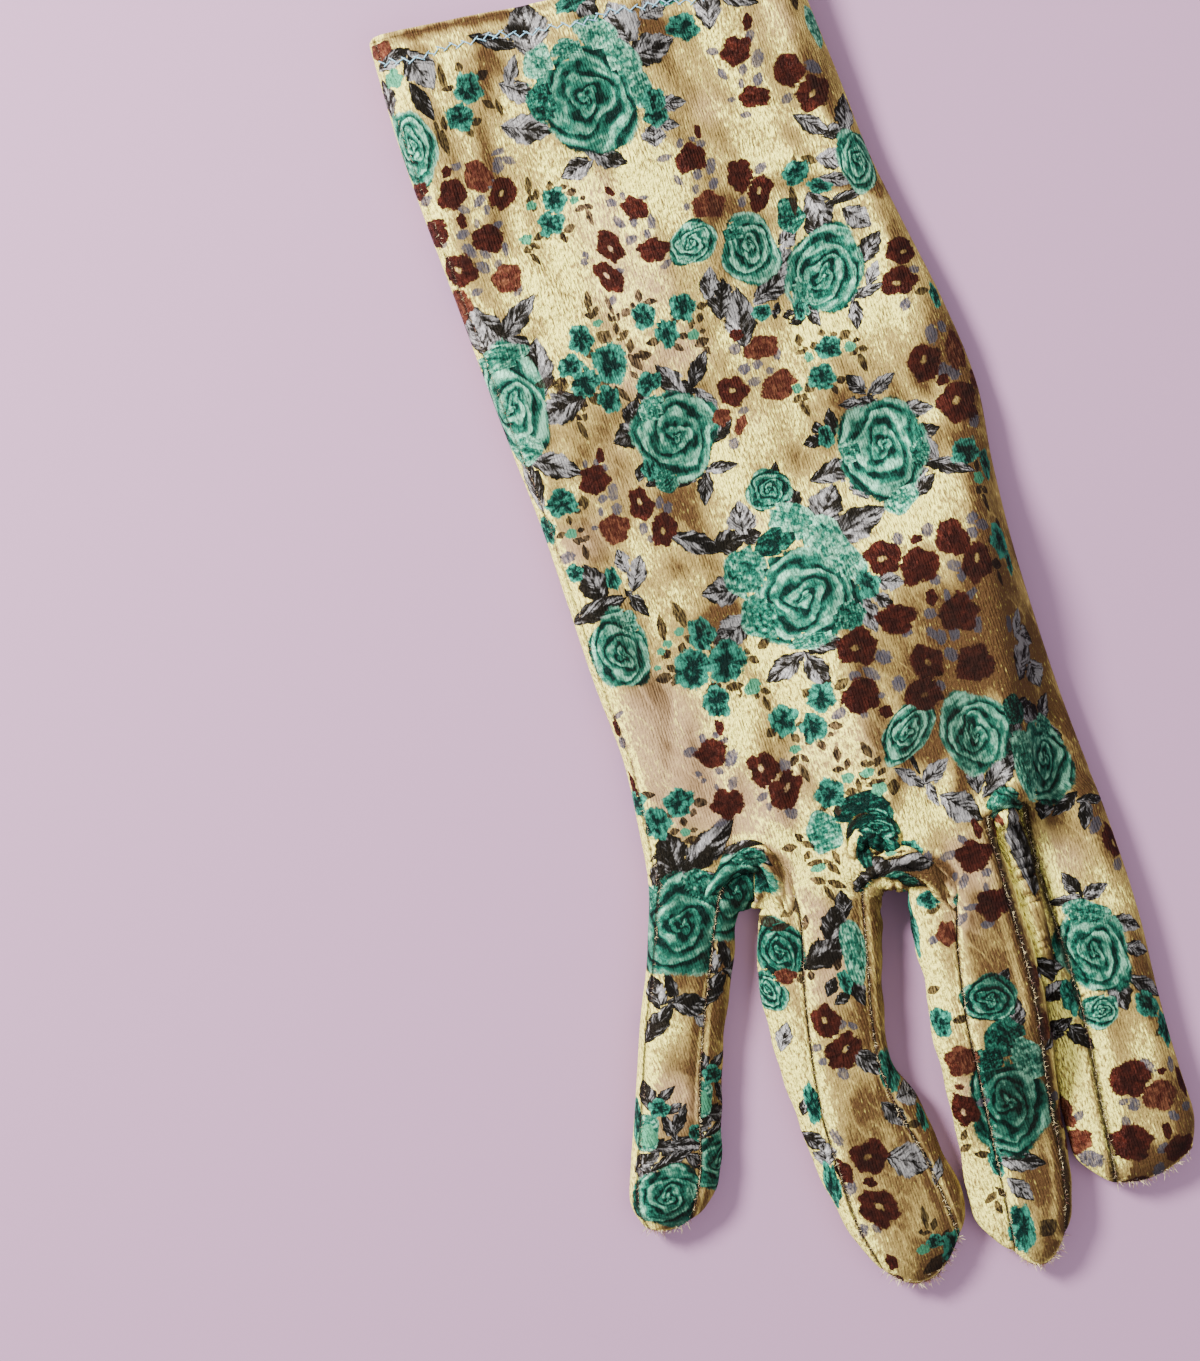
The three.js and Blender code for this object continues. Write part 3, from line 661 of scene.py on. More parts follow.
petals = columns(
    motif,
    (-6.2, 16.2, 9.6, 8, 60, 0.75), (-5.6, 6.8, 9.4, 8, 105, 0.7), (1.2, 20, 9, 5, 15, 0.2),
    (5.8, 22.6, 9.6, 6.6, -35, 0.95), (10.4, 17.4, 10, 7, -60, 0.95), (13, 11.6, 9, 6, -75, 0.95),
    (9.4, 1.8, 7, 5.4, -20, 0.6), (2, -0.6, 8, 3.4, 0, 0.85), (-13.2, 124.6, 6.6, 5.6, 60, 0.95),
    (-7.2, 125.4, 6, 3.8, 0, 0.7), (-0.6, 126.4, 9, 6, -50, 0.95), (2.2, 120, 10, 6.4, -70, 0.9),
    (4, 113.6, 8, 5, -80, 0.85), (-14.6, 117, 8, 6, 90, 0.45), (15.4, -91.6, 10, 5.4, -72, 0.9),
    (12.4, -86.6, 8, 7, 30, 0.35), (8.4, -89.8, 6, 5, 0, 0.3), (27.2, 20.2, 7, 5.4, 20, 0.9),
    (21.4, 32.4, 6, 4.6, 80, 0.75), (33.4, 27.6, 6, 4, 60, 0.6), (33.8, -37, 13, 5, 85, 0.8),
    (34.8, -26.2, 4.6, 5.6, 0, 0.3), (42.2, -31.6, 5, 5, 0, 0.7), (-39.4, 53.6, 6, 6, 60, 0.8),
    (-38.8, 71.8, 10, 5, 0, 0.75), (24.8, 80.8, 6.6, 5, 90, 0.45), (22.8, 66, 9, 4.6, 70, 0.8),
    (41.6, 115, 8, 3.4, 90, 0.95), (-15.4, 38.4, 5, 4, -60, 0.6), (-13.6, 52.6, 6, 5, 45, 0.75),
    (-60.4, -83.4, 7, 5, 60, 0.7), (-9.8, -62, 12, 4.4, 82, 0.85), (13.4, 80.6, 6, 4.4, 10, 0.6),
    (36.6, -69.6, 9, 5, -30, 0.7), (-34.6, -40.4, 8, 6, -60, 0.6), (-45, -40, 7, 5, 20, 0.75),
    (0.4, -35, 10.4, 5.6, 0, 0.05), (-7.8, -37.6, 7.8, 6.4, 90, 0.8), (0.4, -43.4, 7.6, 7.4, 0, 0.2),
    (-32, 13.6, 6, 4, 70, 0.95))
leaves = columns(
    motif,
    (-32.8, 67.2, 10, 5.5, 75, 0.5), (-30.6, 58.8, 8, 5.4, 185, 0.6), (-14.6, 55.6, 3, 2.6, 90, 0.1),
    (-17.4, 53.1, 4.8, 4, 60, 0.2), (-19.4, 49.5, 5.4, 4.6, 190, 0.1), (-8.1, 56.6, 7.2, 3.8, 115, 0.4),
    (-2.6, 57.4, 6.6, 2.8, 48, 0.25), (-5.6, 54.2, 4, 3, -60, 0.1), (-2.8, 50.4, 6, 3, -70, 0.6),
    (-1.8, 44.5, 5, 2.8, 35, 0.3), (-19.7, 41.6, 3, 2, 60, 0), (-18, 39.2, 2.6, 2, 20, 0),
    (-16, 39.8, 5.4, 2.2, -80, 0.2), (-9.9, 38, 5.8, 2.4, 205, 0.1), (-8.4, 34.8, 5.6, 2.8, 250, 0.3),
    (-4.5, 37.6, 5.6, 2.2, -8, 0.5), (-35.3, 48.3, 8.4, 4.2, -35, 0.5), (-40.3, 47, 10, 3, 90, 0.4),
    (17.1, 68.8, 8.6, 4.4, 25, 0.6), (8.8, 64.6, 9, 5.6, 80, 0.7), (37.5, 69.6, 6, 3.6, 38, 0.5),
    (30.2, 61.2, 5.6, 2, 200, 0.2), (34.5, 61.7, 5.6, 2.2, 5, 0.6), (31, 58, 5, 2.6, 255, 0.5),
    (22.7, 61, 4.8, 2.6, -75, 0.3), (19.6, 60.6, 2.8, 1.8, 180, 0), (18.4, 62.2, 2.2, 1.8, 180, 0),
    (16.1, 63.8, 2.8, 1.6, 60, 0.1), (6.4, 69.4, 6, 5, 70, 0.4), (14.6, 67.4, 4.4, 2, 20, 0.7),
    (36.6, 64.5, 4.2, 2.4, 50, 0.9), (26.5, 44.6, 4.2, 2.8, 120, 0.4), (31, 43.1, 5.6, 2.4, 22, 0.6),
    (25.8, 41.1, 6, 2.4, 170, 0.5), (28.4, 40.6, 3, 2, -60, 0.1), (19.3, 39, 4.6, 2.4, 80, 0),
    (16.4, 38.8, 2.2, 2, 90, 0), (15, 36.7, 3.4, 2.4, 180, 0), (35.9, 36.4, 5.8, 3.2, -15, 0.6),
    (36, 31.2, 5, 3, 0, 0.2), (36, 28.2, 5.4, 2.6, -80, 0.9), (17.2, 29.4, 8.4, 4.2, 3, 0.5),
    (5.5, 33.3, 3.2, 1.6, 65, 0), (6.4, 26.8, 5.4, 4.2, 95, 0.6), (-13.7, 24.8, 8.6, 3.6, -35, 0.4),
    (-7.6, 23, 6, 4.2, 0, 0.1), (-3.8, 25.8, 6.4, 4.8, 80, 0.9), (-3.2, 22.6, 3.6, 3, 0, 0.1),
    (-11.6, 14, 6.6, 4.8, 170, 0.5), (-12.2, 6, 7.2, 4.8, 200, 0.95), (-4.6, -4.2, 7.2, 3.8, 200, 0.5),
    (2.6, -1.7, 8.2, 3.6, -15, 0.3), (0.9, -6.6, 6.8, 3.6, -75, 0.5), (-36.4, 18.4, 9.6, 3.6, 8, 0.2),
    (-35.5, 23.4, 6.6, 4.8, 100, 0.2), (-28.6, 17.4, 5.6, 2.4, -65, 0.1), (-26.8, 22.9, 5.6, 3.4, 60, 1),
    (-28.7, 26, 4, 2.6, 95, 1), (12.6, 23, 7.6, 5.8, 50, 0.75), (17, 18, 10.6, 5.4, 12, 0.6),
    (20.6, 25, 4.6, 3.6, 100, 0.95), (24.2, 22.8, 3, 2.4, 80, 0.9), (31.2, 23.8, 6.2, 5, 75, 0.7),
    (32.4, 21, 5, 2.6, 30, 0.2), (37.9, 23.6, 8.6, 3, -30, 0.3), (35.6, 27, 3, 2, 40, 0.2),
    (13.2, 1.6, 7.2, 3.8, -80, 0.9), (17.1, 2.4, 4.2, 2.4, -50, 0.5), (19.4, 5.4, 4.6, 3.2, -20, 0.9),
    (41.5, -17.2, 7.4, 5, 50, 0.85), (43.5, -13.2, 5, 4, -30, 0.9), (45, -20.8, 4.4, 5, -80, 0.8),
    (42.2, -10.4, 5, 2.4, 60, 0.9), (-38, -33.2, 8.6, 6.4, 90, 0.3), (-31, -33.4, 12, 4.8, 30, 0.35),
    (-36, -36.4, 5, 4, -30, 0), (-33.4, -39.4, 7, 3.6, -50, 0.5), (-41.6, -35.4, 5, 3, 60, 0.2),
    (11.2, -32.4, 5.6, 2.4, -48, 1), (15.8, -33, 6, 3, 28, 1), (14.5, -36.8, 4.2, 2.2, -80, 0.9),
    (12.8, -29.6, 5, 1, -80, 0.1), (33.2, -29.6, 5, 3, 70, 0.5), (31, -34, 6, 4, 60, 0.4),
    (28, -37.4, 8.4, 4, 35, 0.6), (23.4, -36.4, 5, 3.2, 80, 0.9), (18.8, -41, 7, 5, -50, 0.6),
    (38.2, -28, 5.2, 3, 105, 0.7), (41.2, -28.8, 6.6, 3, -60, 0.1), (44.2, -28, 5.4, 3, 45, 0.4),
    (38.4, -25.6, 4.4, 2, -15, 0), (44.9, -34, 4.4, 2, -80, 0.5), (45.6, -41, 4, 2, 90, 0.1),
    (-41.5, 79, 9, 6, 100, 0.75), (-38.4, 77.6, 9.4, 4.2, -60, 0.25), (-33.6, 78.3, 9.4, 3.8, 35, 0.5),
    (-34, 72, 8.4, 4.2, -60, 0.5), (-19.5, 113.4, 7.8, 5, -25, 0.8), (-12.4, 102.8, 5.4, 3.6, 190, 0.8),
    (-6.5, 103.2, 7, 3.6, -35, 0.6), (9, 109.2, 4.6, 2.8, -10, 0.7), (6.6, 105.6, 4.2, 2.4, -20, 0.9),
    (3.8, 104, 3.4, 4, 80, 0.95), (34.5, 96.4, 6.4, 3.2, -45, 0.6), (41.3, 96.4, 6.6, 3.6, 70, 0.75),
    (38, 93.8, 4.4, 2.8, 0, 0.1), (36.2, 88.7, 5, 3.4, -20, 1), (36, 84.8, 5.6, 2.2, -25, 0.9),
    (36.8, 80.8, 8.6, 2, 5, 0.1), (30.5, 80, 6.4, 5, -80, 0.7), (28.5, 77.2, 4.4, 3, 90, 0.1),
    (37.2, 76.2, 5, 4, -50, 0.9), (22.8, 76.6, 3.4, 3, 20, 0.8), (20.4, 72.6, 6, 4.2, 60, 0.8),
    (5, 72.6, 5.4, 3.2, 70, 0.9), (-13.4, 131.6, 9.4, 7, 85, 0.75), (-20.4, 131.4, 7.6, 2.8, -30, 0.3),
    (-18.6, 120.6, 6.6, 3.6, -40, 0.8), (-19, 124.6, 5.4, 2.6, 60, 0.8), (-36, 131, 7, 5.2, -70, 0.8),
    (-40.5, 134.6, 6, 3, 10, 0.4), (-37.6, 125, 6.6, 2.6, -75, 0), (-44.4, 128, 6, 4, 90, 0.4),
    (4.5, 126.6, 7.6, 6.2, 100, 0.85), (8, 120.4, 8.4, 5.2, 8, 0.7), (-1, 132.4, 5.4, 4, -60, 0.4),
    (11.6, 128, 5, 4, 20, 0.95), (22, 124.6, 6.4, 4.4, 80, 0.6), (27.6, 124.6, 7.2, 3, -30, 0.5),
    (-14.8, -60.4, 8.6, 5.2, 20, 0), (-11.8, -55.8, 6.8, 4.4, 60, 0.15), (-8.8, -52.4, 4.6, 3, 80, 0.3),
    (-16.2, -67.4, 3.2, 2.2, 50, 0.1), (-14.8, -70.2, 3, 2, 20, 0), (-11.6, -69.2, 5.6, 2.6, -85, 0.3),
    (-14.2, -83.6, 7.4, 3.2, -55, 0.5), (-12.4, -95.4, 5.4, 3, -60, 0.5), (-12.6, -105, 7, 5.6, -30, 0.8),
    (-8.4, -92.6, 4, 4, 0, 0.9), (-8, -109, 4, 2, 60, 0.9), (-29.2, -95.4, 5, 3, -40, 0.1),
    (-27.8, -98.6, 4, 4, 80, 0.9), (-28.2, -74, 4.6, 2.8, 60, 0.9), (-28.6, -88.4, 3, 2, 60, 0.3),
    (15.4, -83, 6.4, 4.2, 70, 0.35), (15.8, -75.6, 3.6, 2.2, 45, 0), (8.2, -111.8, 8, 3.8, -25, 0.5),
    (6.8, -117.4, 5, 2.8, -60, 0.85), (8.8, -79.4, 3, 2, 70, 0), (35, -46.4, 4, 3.6, 60, 0.1),
    (39.8, -47.4, 6.4, 2.4, 200, 0.2), (45, -48.4, 5, 2, -10, 0.4), (42.5, -50.6, 5, 2.4, 250, 0.3),
    (35.5, -63.4, 5, 2.6, 110, 0.1), (34.2, -66, 6.4, 2.2, 170, 0.5), (39, -65.8, 5, 2.6, 10, 0.6),
    (36.5, -67.8, 2.6, 2, -60, 0.1), (43, -73.7, 5.4, 2.8, -35, 0.5), (43.5, -79.3, 4.4, 2.6, -30, 0.6),
    (37.8, -86.6, 5.6, 4, -85, 0.5), (43.2, -87, 7.4, 2.6, -45, 0.3), (38.6, -83.8, 5, 2.6, 160, 0.1),
    (26.3, -77, 6.4, 4, 0, 0.4), (26, -82.5, 4.6, 3.2, 30, 0.6), (23.4, -90, 6.6, 3, 20, 0.4),
    (27.5, -92, 6.4, 3, -60, 0.1), (27.6, -52, 14, 3, 88, 0.6), (-49.4, -57.6, 5.4, 4, 90, 0.4),
    (-51, -63.4, 7.6, 3.2, 38, 0.1), (-46.4, -57.6, 6, 2, 90, 0), (-44, -61.8, 7, 3.8, -25, 0.3),
    (-42.9, -65.6, 3.4, 2, -60, 1), (-57.6, -76.6, 5, 3, 90, 0.1), (-54.6, -77.4, 4.4, 1.8, 25, 0.1),
    (-53.7, -80.4, 3.6, 1.6, 10, 0.2), (-55.6, -84, 5.4, 2, 100, 0.1), (-53.4, -83, 5.6, 2.2, 50, 0.1),
    (-58, -87, 7.6, 3, -20, 0.2), (-54, -87.8, 7, 2.8, -20, 0.4), (-57, -89.8, 7.4, 2.4, 10, 0.3),
    (-61.8, -88.6, 5.4, 3.2, 30, 0.2), (-62.6, -91.4, 4.4, 3, -60, 0.6),
    (-52.8, -91.6, 5.4, 2.2, -60, 0.3))
solid, ringed, mottled, teal, pale = range(5)
solid_blossoms = of_kind(
    solid,
    (-28.9, 43.1, 5.8, 5.4), (-26.3, 47.4, 3.1, 1.6, 80), (7, 61.6, 2.6, 2.3), (43.1, 40.1, 2.6, 2.1, 40),
    (-23.9, -15.9, 6, 5.6), (-20.8, -11.3, 3.1, 1.7, 85), (25.9, 6.4, 7.8, 6.6, 10), (27.3, 11.3, 2.3, 2),
    (34.1, 9.4, 7.8, 6, -80), (18.4, -2, 7.3, 5.7, -10), (26.3, -0.2, 3.2, 2.2, 80), (30.4, -4.7, 7.2, 7),
    (7.1, -14.1, 7, 6.2), (30.2, -15.2, 6.9, 6.7), (10.8, -18.5, 2.8, 2.4, -50), (-24.3, -26.3, 6.4, 5.6),
    (-37.7, 106, 6, 5.4, 60), (-37.4, 110.4, 2.2, 1.8, 60), (-43.4, 99.8, 5.6, 5.4),
    (-37.6, 100.3, 3, 1.8, 90), (-34, 95.4, 6, 5.2, -30), (-4.2, 91.7, 5.4, 4.2, -45),
    (-3.3, 82.6, 5.8, 4.4, -10), (-8, 96.5, 2.5, 1.2, -60), (9.4, 97.5, 6.2, 5.2, 20),
    (12.4, 102.2, 2.7, 1.3, 85), (17.7, 91.4, 6.5, 5, 70), (24.8, 114.8, 5.8, 5.2, 20),
    (25.4, 105.3, 5.8, 4, -15), (33.4, 108, 6.5, 5.5, -80), (28.4, 119.3, 3.2, 1.8, 70),
    (-44, 108.8, 4.4, 3.2), (-21.2, -106.7, 2.7, 1.8, -30), (-22, -123, 3.3, 1.8, -75),
    (-22.8, -127, 5, 3, -35), (18, -50.8, 6.5, 6), (18.8, -61, 6.5, 5.6), (34.3, -103.5, 7.7, 6.8),
    (30.6, -115.6, 8, 7, -20), (38, -115.6, 3.2, 1.8, 80), (39.2, -119.4, 6, 4, 20),
    (44.2, -107.5, 6, 2, 90), (40.6, -104, 1.6, 1.3), (30, -124, 6, 2.8, -10), (20.3, -46, 4, 1.6, 90),
    (29.4, -56.4, 3, 1.8, 90), (-25.4, -103, 5.4, 3, -80), (-40.3, -5, 3.4, 1.4, 90),
    (-40.8, -17, 5, 1.3, 90))
ringed_blossoms = of_kind(
    ringed,
    (-21.7, 35.6, 6.6, 4.5, 95), (-19, 29.4, 6.5, 4.7, 70), (2.8, 51.2, 6, 5.5, -40),
    (43.2, 67, 5.6, 5.4), (41, 61.3, 6.6, 5.6, -10), (40.7, 44.5, 6.7, 6.3, 60),
    (44.5, 34.9, 7.9, 7.2, 40), (20, 10.1, 6.9, 6.3), (36.8, 3.7, 7.8, 5.5, 70), (9.5, -4.8, 7.5, 6.7),
    (21.4, -12, 6.7, 6, -70), (18.7, -17.6, 6.7, 6.1), (-15.3, -22.1, 6.9, 5.4, -85),
    (-12.5, -27.3, 7.5, 5.7, 45), (-28.2, 103.2, 6.7, 5, 50), (-41, 91.2, 6.7, 5.9, -50),
    (-11.1, 86.2, 6.6, 4.3, -75), (-13.2, 80.5, 7.2, 4.1, -65), (20.4, 87, 7.2, 4.5, 55),
    (36.4, 102.2, 6.6, 6, 40), (-19.3, -73.6, 6.7, 5.2, -80), (-18, -80.2, 7.5, 5.8, 35),
    (-19.7, -101.8, 7, 6.5), (-21.2, -112, 8.2, 6.5, -50), (1, -98.4, 6.9, 5, -80),
    (46, -57.6, 6.7, 3.4, 95), (-34.8, -55.6, 5.7, 4.2, -80), (-38.6, -64.5, 5.6, 4.5, -60))
mottled_blossoms = of_kind(
    mottled,
    (-28.1, 32.7, 5.7, 5.4), (-0.9, 47, 3.5, 3.2), (2.2, 44.3, 3.9, 2, 50), (10.9, 57.7, 6.9, 4.5),
    (11.8, 49.3, 7.1, 5.2, 10), (47.3, 44.9, 7.4, 3.8, 85), (49.3, 38.4, 4, 1.8, 80),
    (-31.8, 107.7, 6.5, 5, -80), (-32.7, 86.7, 5.8, 5.2), (-43.2, 84.7, 6.4, 5, 80),
    (9.8, 87.7, 6.3, 5.3), (8.4, -63.8, 4.7, 3.8, 80), (10.6, -55.4, 5, 2, -40), (3.4, -88.4, 6.2, 5.6),
    (1.4, -93.3, 1.9, 1.3, -40), (38.7, -108.4, 6.3, 5.8), (21.8, -77, 5, 1.8, 85),
    (20.8, -87, 5.2, 3, 80), (19.8, -106.3, 6.2, 4, 90), (20.8, -112.3, 5.5, 4.6),
    (24.3, -47, 4.2, 2.8, 80), (-24, -62.6, 4, 3, -20), (-42.5, 137.2, 5, 3.4))
teal_blossoms = of_kind(
    teal,
    (-26.2, 66, 4.8, 4.4), (-24.5, 62.2, 5.8, 5.4, 40), (-18.7, 64, 7.8, 6.7, 80),
    (-21.1, 57.4, 5.2, 4.1, 90), (-22.6, 70.3, 5.6, 4.6, 90), (-9.3, 71, 5.2, 4.6, 90),
    (-6, 66.4, 5.4, 4.5, 90), (-1.4, 70.2, 5.4, 5, 90), (-12.6, 58, 4.9, 4.2, 30),
    (-36.5, 40.9, 5.7, 5.3), (-41, 36.6, 5.2, 3.6, 90), (-17.8, 41.6, 4.1, 2.9, 90), (13.2, 64.3, 3.6, 3),
    (20.7, 62.6, 4, 2.4, 80), (23.7, 53.3, 4.8, 4.3), (20.5, 48.2, 5.2, 4.8), (47, 56.6, 5, 2, 90),
    (17.5, 36.6, 4.2, 3, 90), (-22.2, 1.4, 8, 7, 70), (-15.4, 0.5, 7.8, 7, 60),
    (-18.5, 7.3, 6.2, 4.9, 90), (-19.7, -6.4, 6.1, 5.1, 90), (-8.3, -14.1, 6.1, 5.3, 60),
    (0.1, -12, 5.7, 5.1, 60), (-3.1, -17.2, 5.7, 5.1, 80), (-31.7, 23.4, 4.3, 2.7, 90),
    (-38.3, 26.8, 3.6, 3, 90), (42.5, 25, 5.6, 5.1, 30), (46.4, 21.6, 5.6, 2.8, 90),
    (43.9, 6, 6.8, 5, 100), (45.5, 1.6, 5, 2.2, 85), (15.4, 6.2, 5.6, 4.1, 90), (-33.6, -23, 5.7, 5.3),
    (-38.6, -25.6, 6.2, 5, 90), (-41.5, -20.5, 5.2, 3.4, 90), (-4.3, -30.6, 6, 5.7),
    (-18.7, 98.4, 5, 4.5, 80), (-20.8, 94.4, 5.2, 4.9), (-28.2, 124.4, 5.7, 5.1, 80),
    (-31.4, 119.8, 5.2, 5), (6, 110.6, 5, 4, 80), (5.4, 107.6, 4.7, 4), (16.2, 122.6, 6.2, 5, -30),
    (15.5, 129, 4.2, 3), (-3.6, 133.8, 6.2, 3, 10), (28.5, 88.6, 5.2, 4.1, 10), (32.3, 84.6, 5, 3, -30),
    (1.8, -80, 5.8, 4.2, 90), (6.6, -45.8, 4.8, 3.6, -40), (7.2, -56.2, 4.2, 3.6),
    (4, -110.6, 6.8, 2.7, 85), (4.6, -125, 9, 4.8, 80), (42.2, -90.6, 5.8, 4, -70),
    (44.3, -96.4, 6.6, 3.2, 85), (-13.3, -67.3, 4.5, 2.5, 90), (-22, -43, 6.2, 5),
    (-12.8, -121.8, 3.2, 2.6), (-9.8, -124.6, 7.2, 4.2, 70), (-7.3, -98, 5.2, 2, 90),
    (-10.6, -87, 8, 4, 85), (-27, -88.4, 8, 2.8, 85), (-28.4, -105, 9, 3.2, 85),
    (28.6, -84.4, 7, 3.6, 80), (-56.3, -79.5, 3.7, 3.5), (-51.2, -86.3, 3.1, 2.2, 90),
    (-61.6, -80.4, 8, 2.8, 75), (-53, -99, 4.2, 4), (2.4, -60, 13, 2, 86))
pale_blossoms = of_kind(
    pale,
    (-1.1, 64.4, 2.1, 1.9), (-36.6, 34.5, 2.1, 1.9), (15, 47.6, 2.3, 1.8), (27.7, 52.2, 2.3, 1.9),
    (19.5, 52.8, 2.1, 1.8), (-12.3, -5.9, 3.6, 2.7, 20), (-22.4, 9.2, 1.9, 1.6), (-25.3, 7.6, 1.9, 1.6),
    (-27.1, 6.6, 1.6, 1.4), (-28.9, 3.7, 1.6, 1), (43.4, 19.2, 2.7, 2.3), (-34, -29, 1.9, 1.6),
    (-8, -20.3, 2.5, 1.6), (-0.1, -28.7, 2.7, 2), (3.8, -28.8, 2.5, 1.7), (-11, -44, 3, 1.5),
    (-23.5, 99, 2.1, 1.6), (-15, 97.2, 2, 1.4), (-18.5, 72.5, 1.9, 1.4), (-26.6, 93, 2.5, 2),
    (4.8, -32.6, 2.7, 2.4), (-41.4, 131, 3.7, 3.4), (-15.4, -122.6, 2.5, 1.8), (-60.4, -84, 4, 4))
blossoms = columns(motif, *solid_blossoms, *ringed_blossoms, *mottled_blossoms,
                   *teal_blossoms, *pale_blossoms)
dot, sprig = range(2)
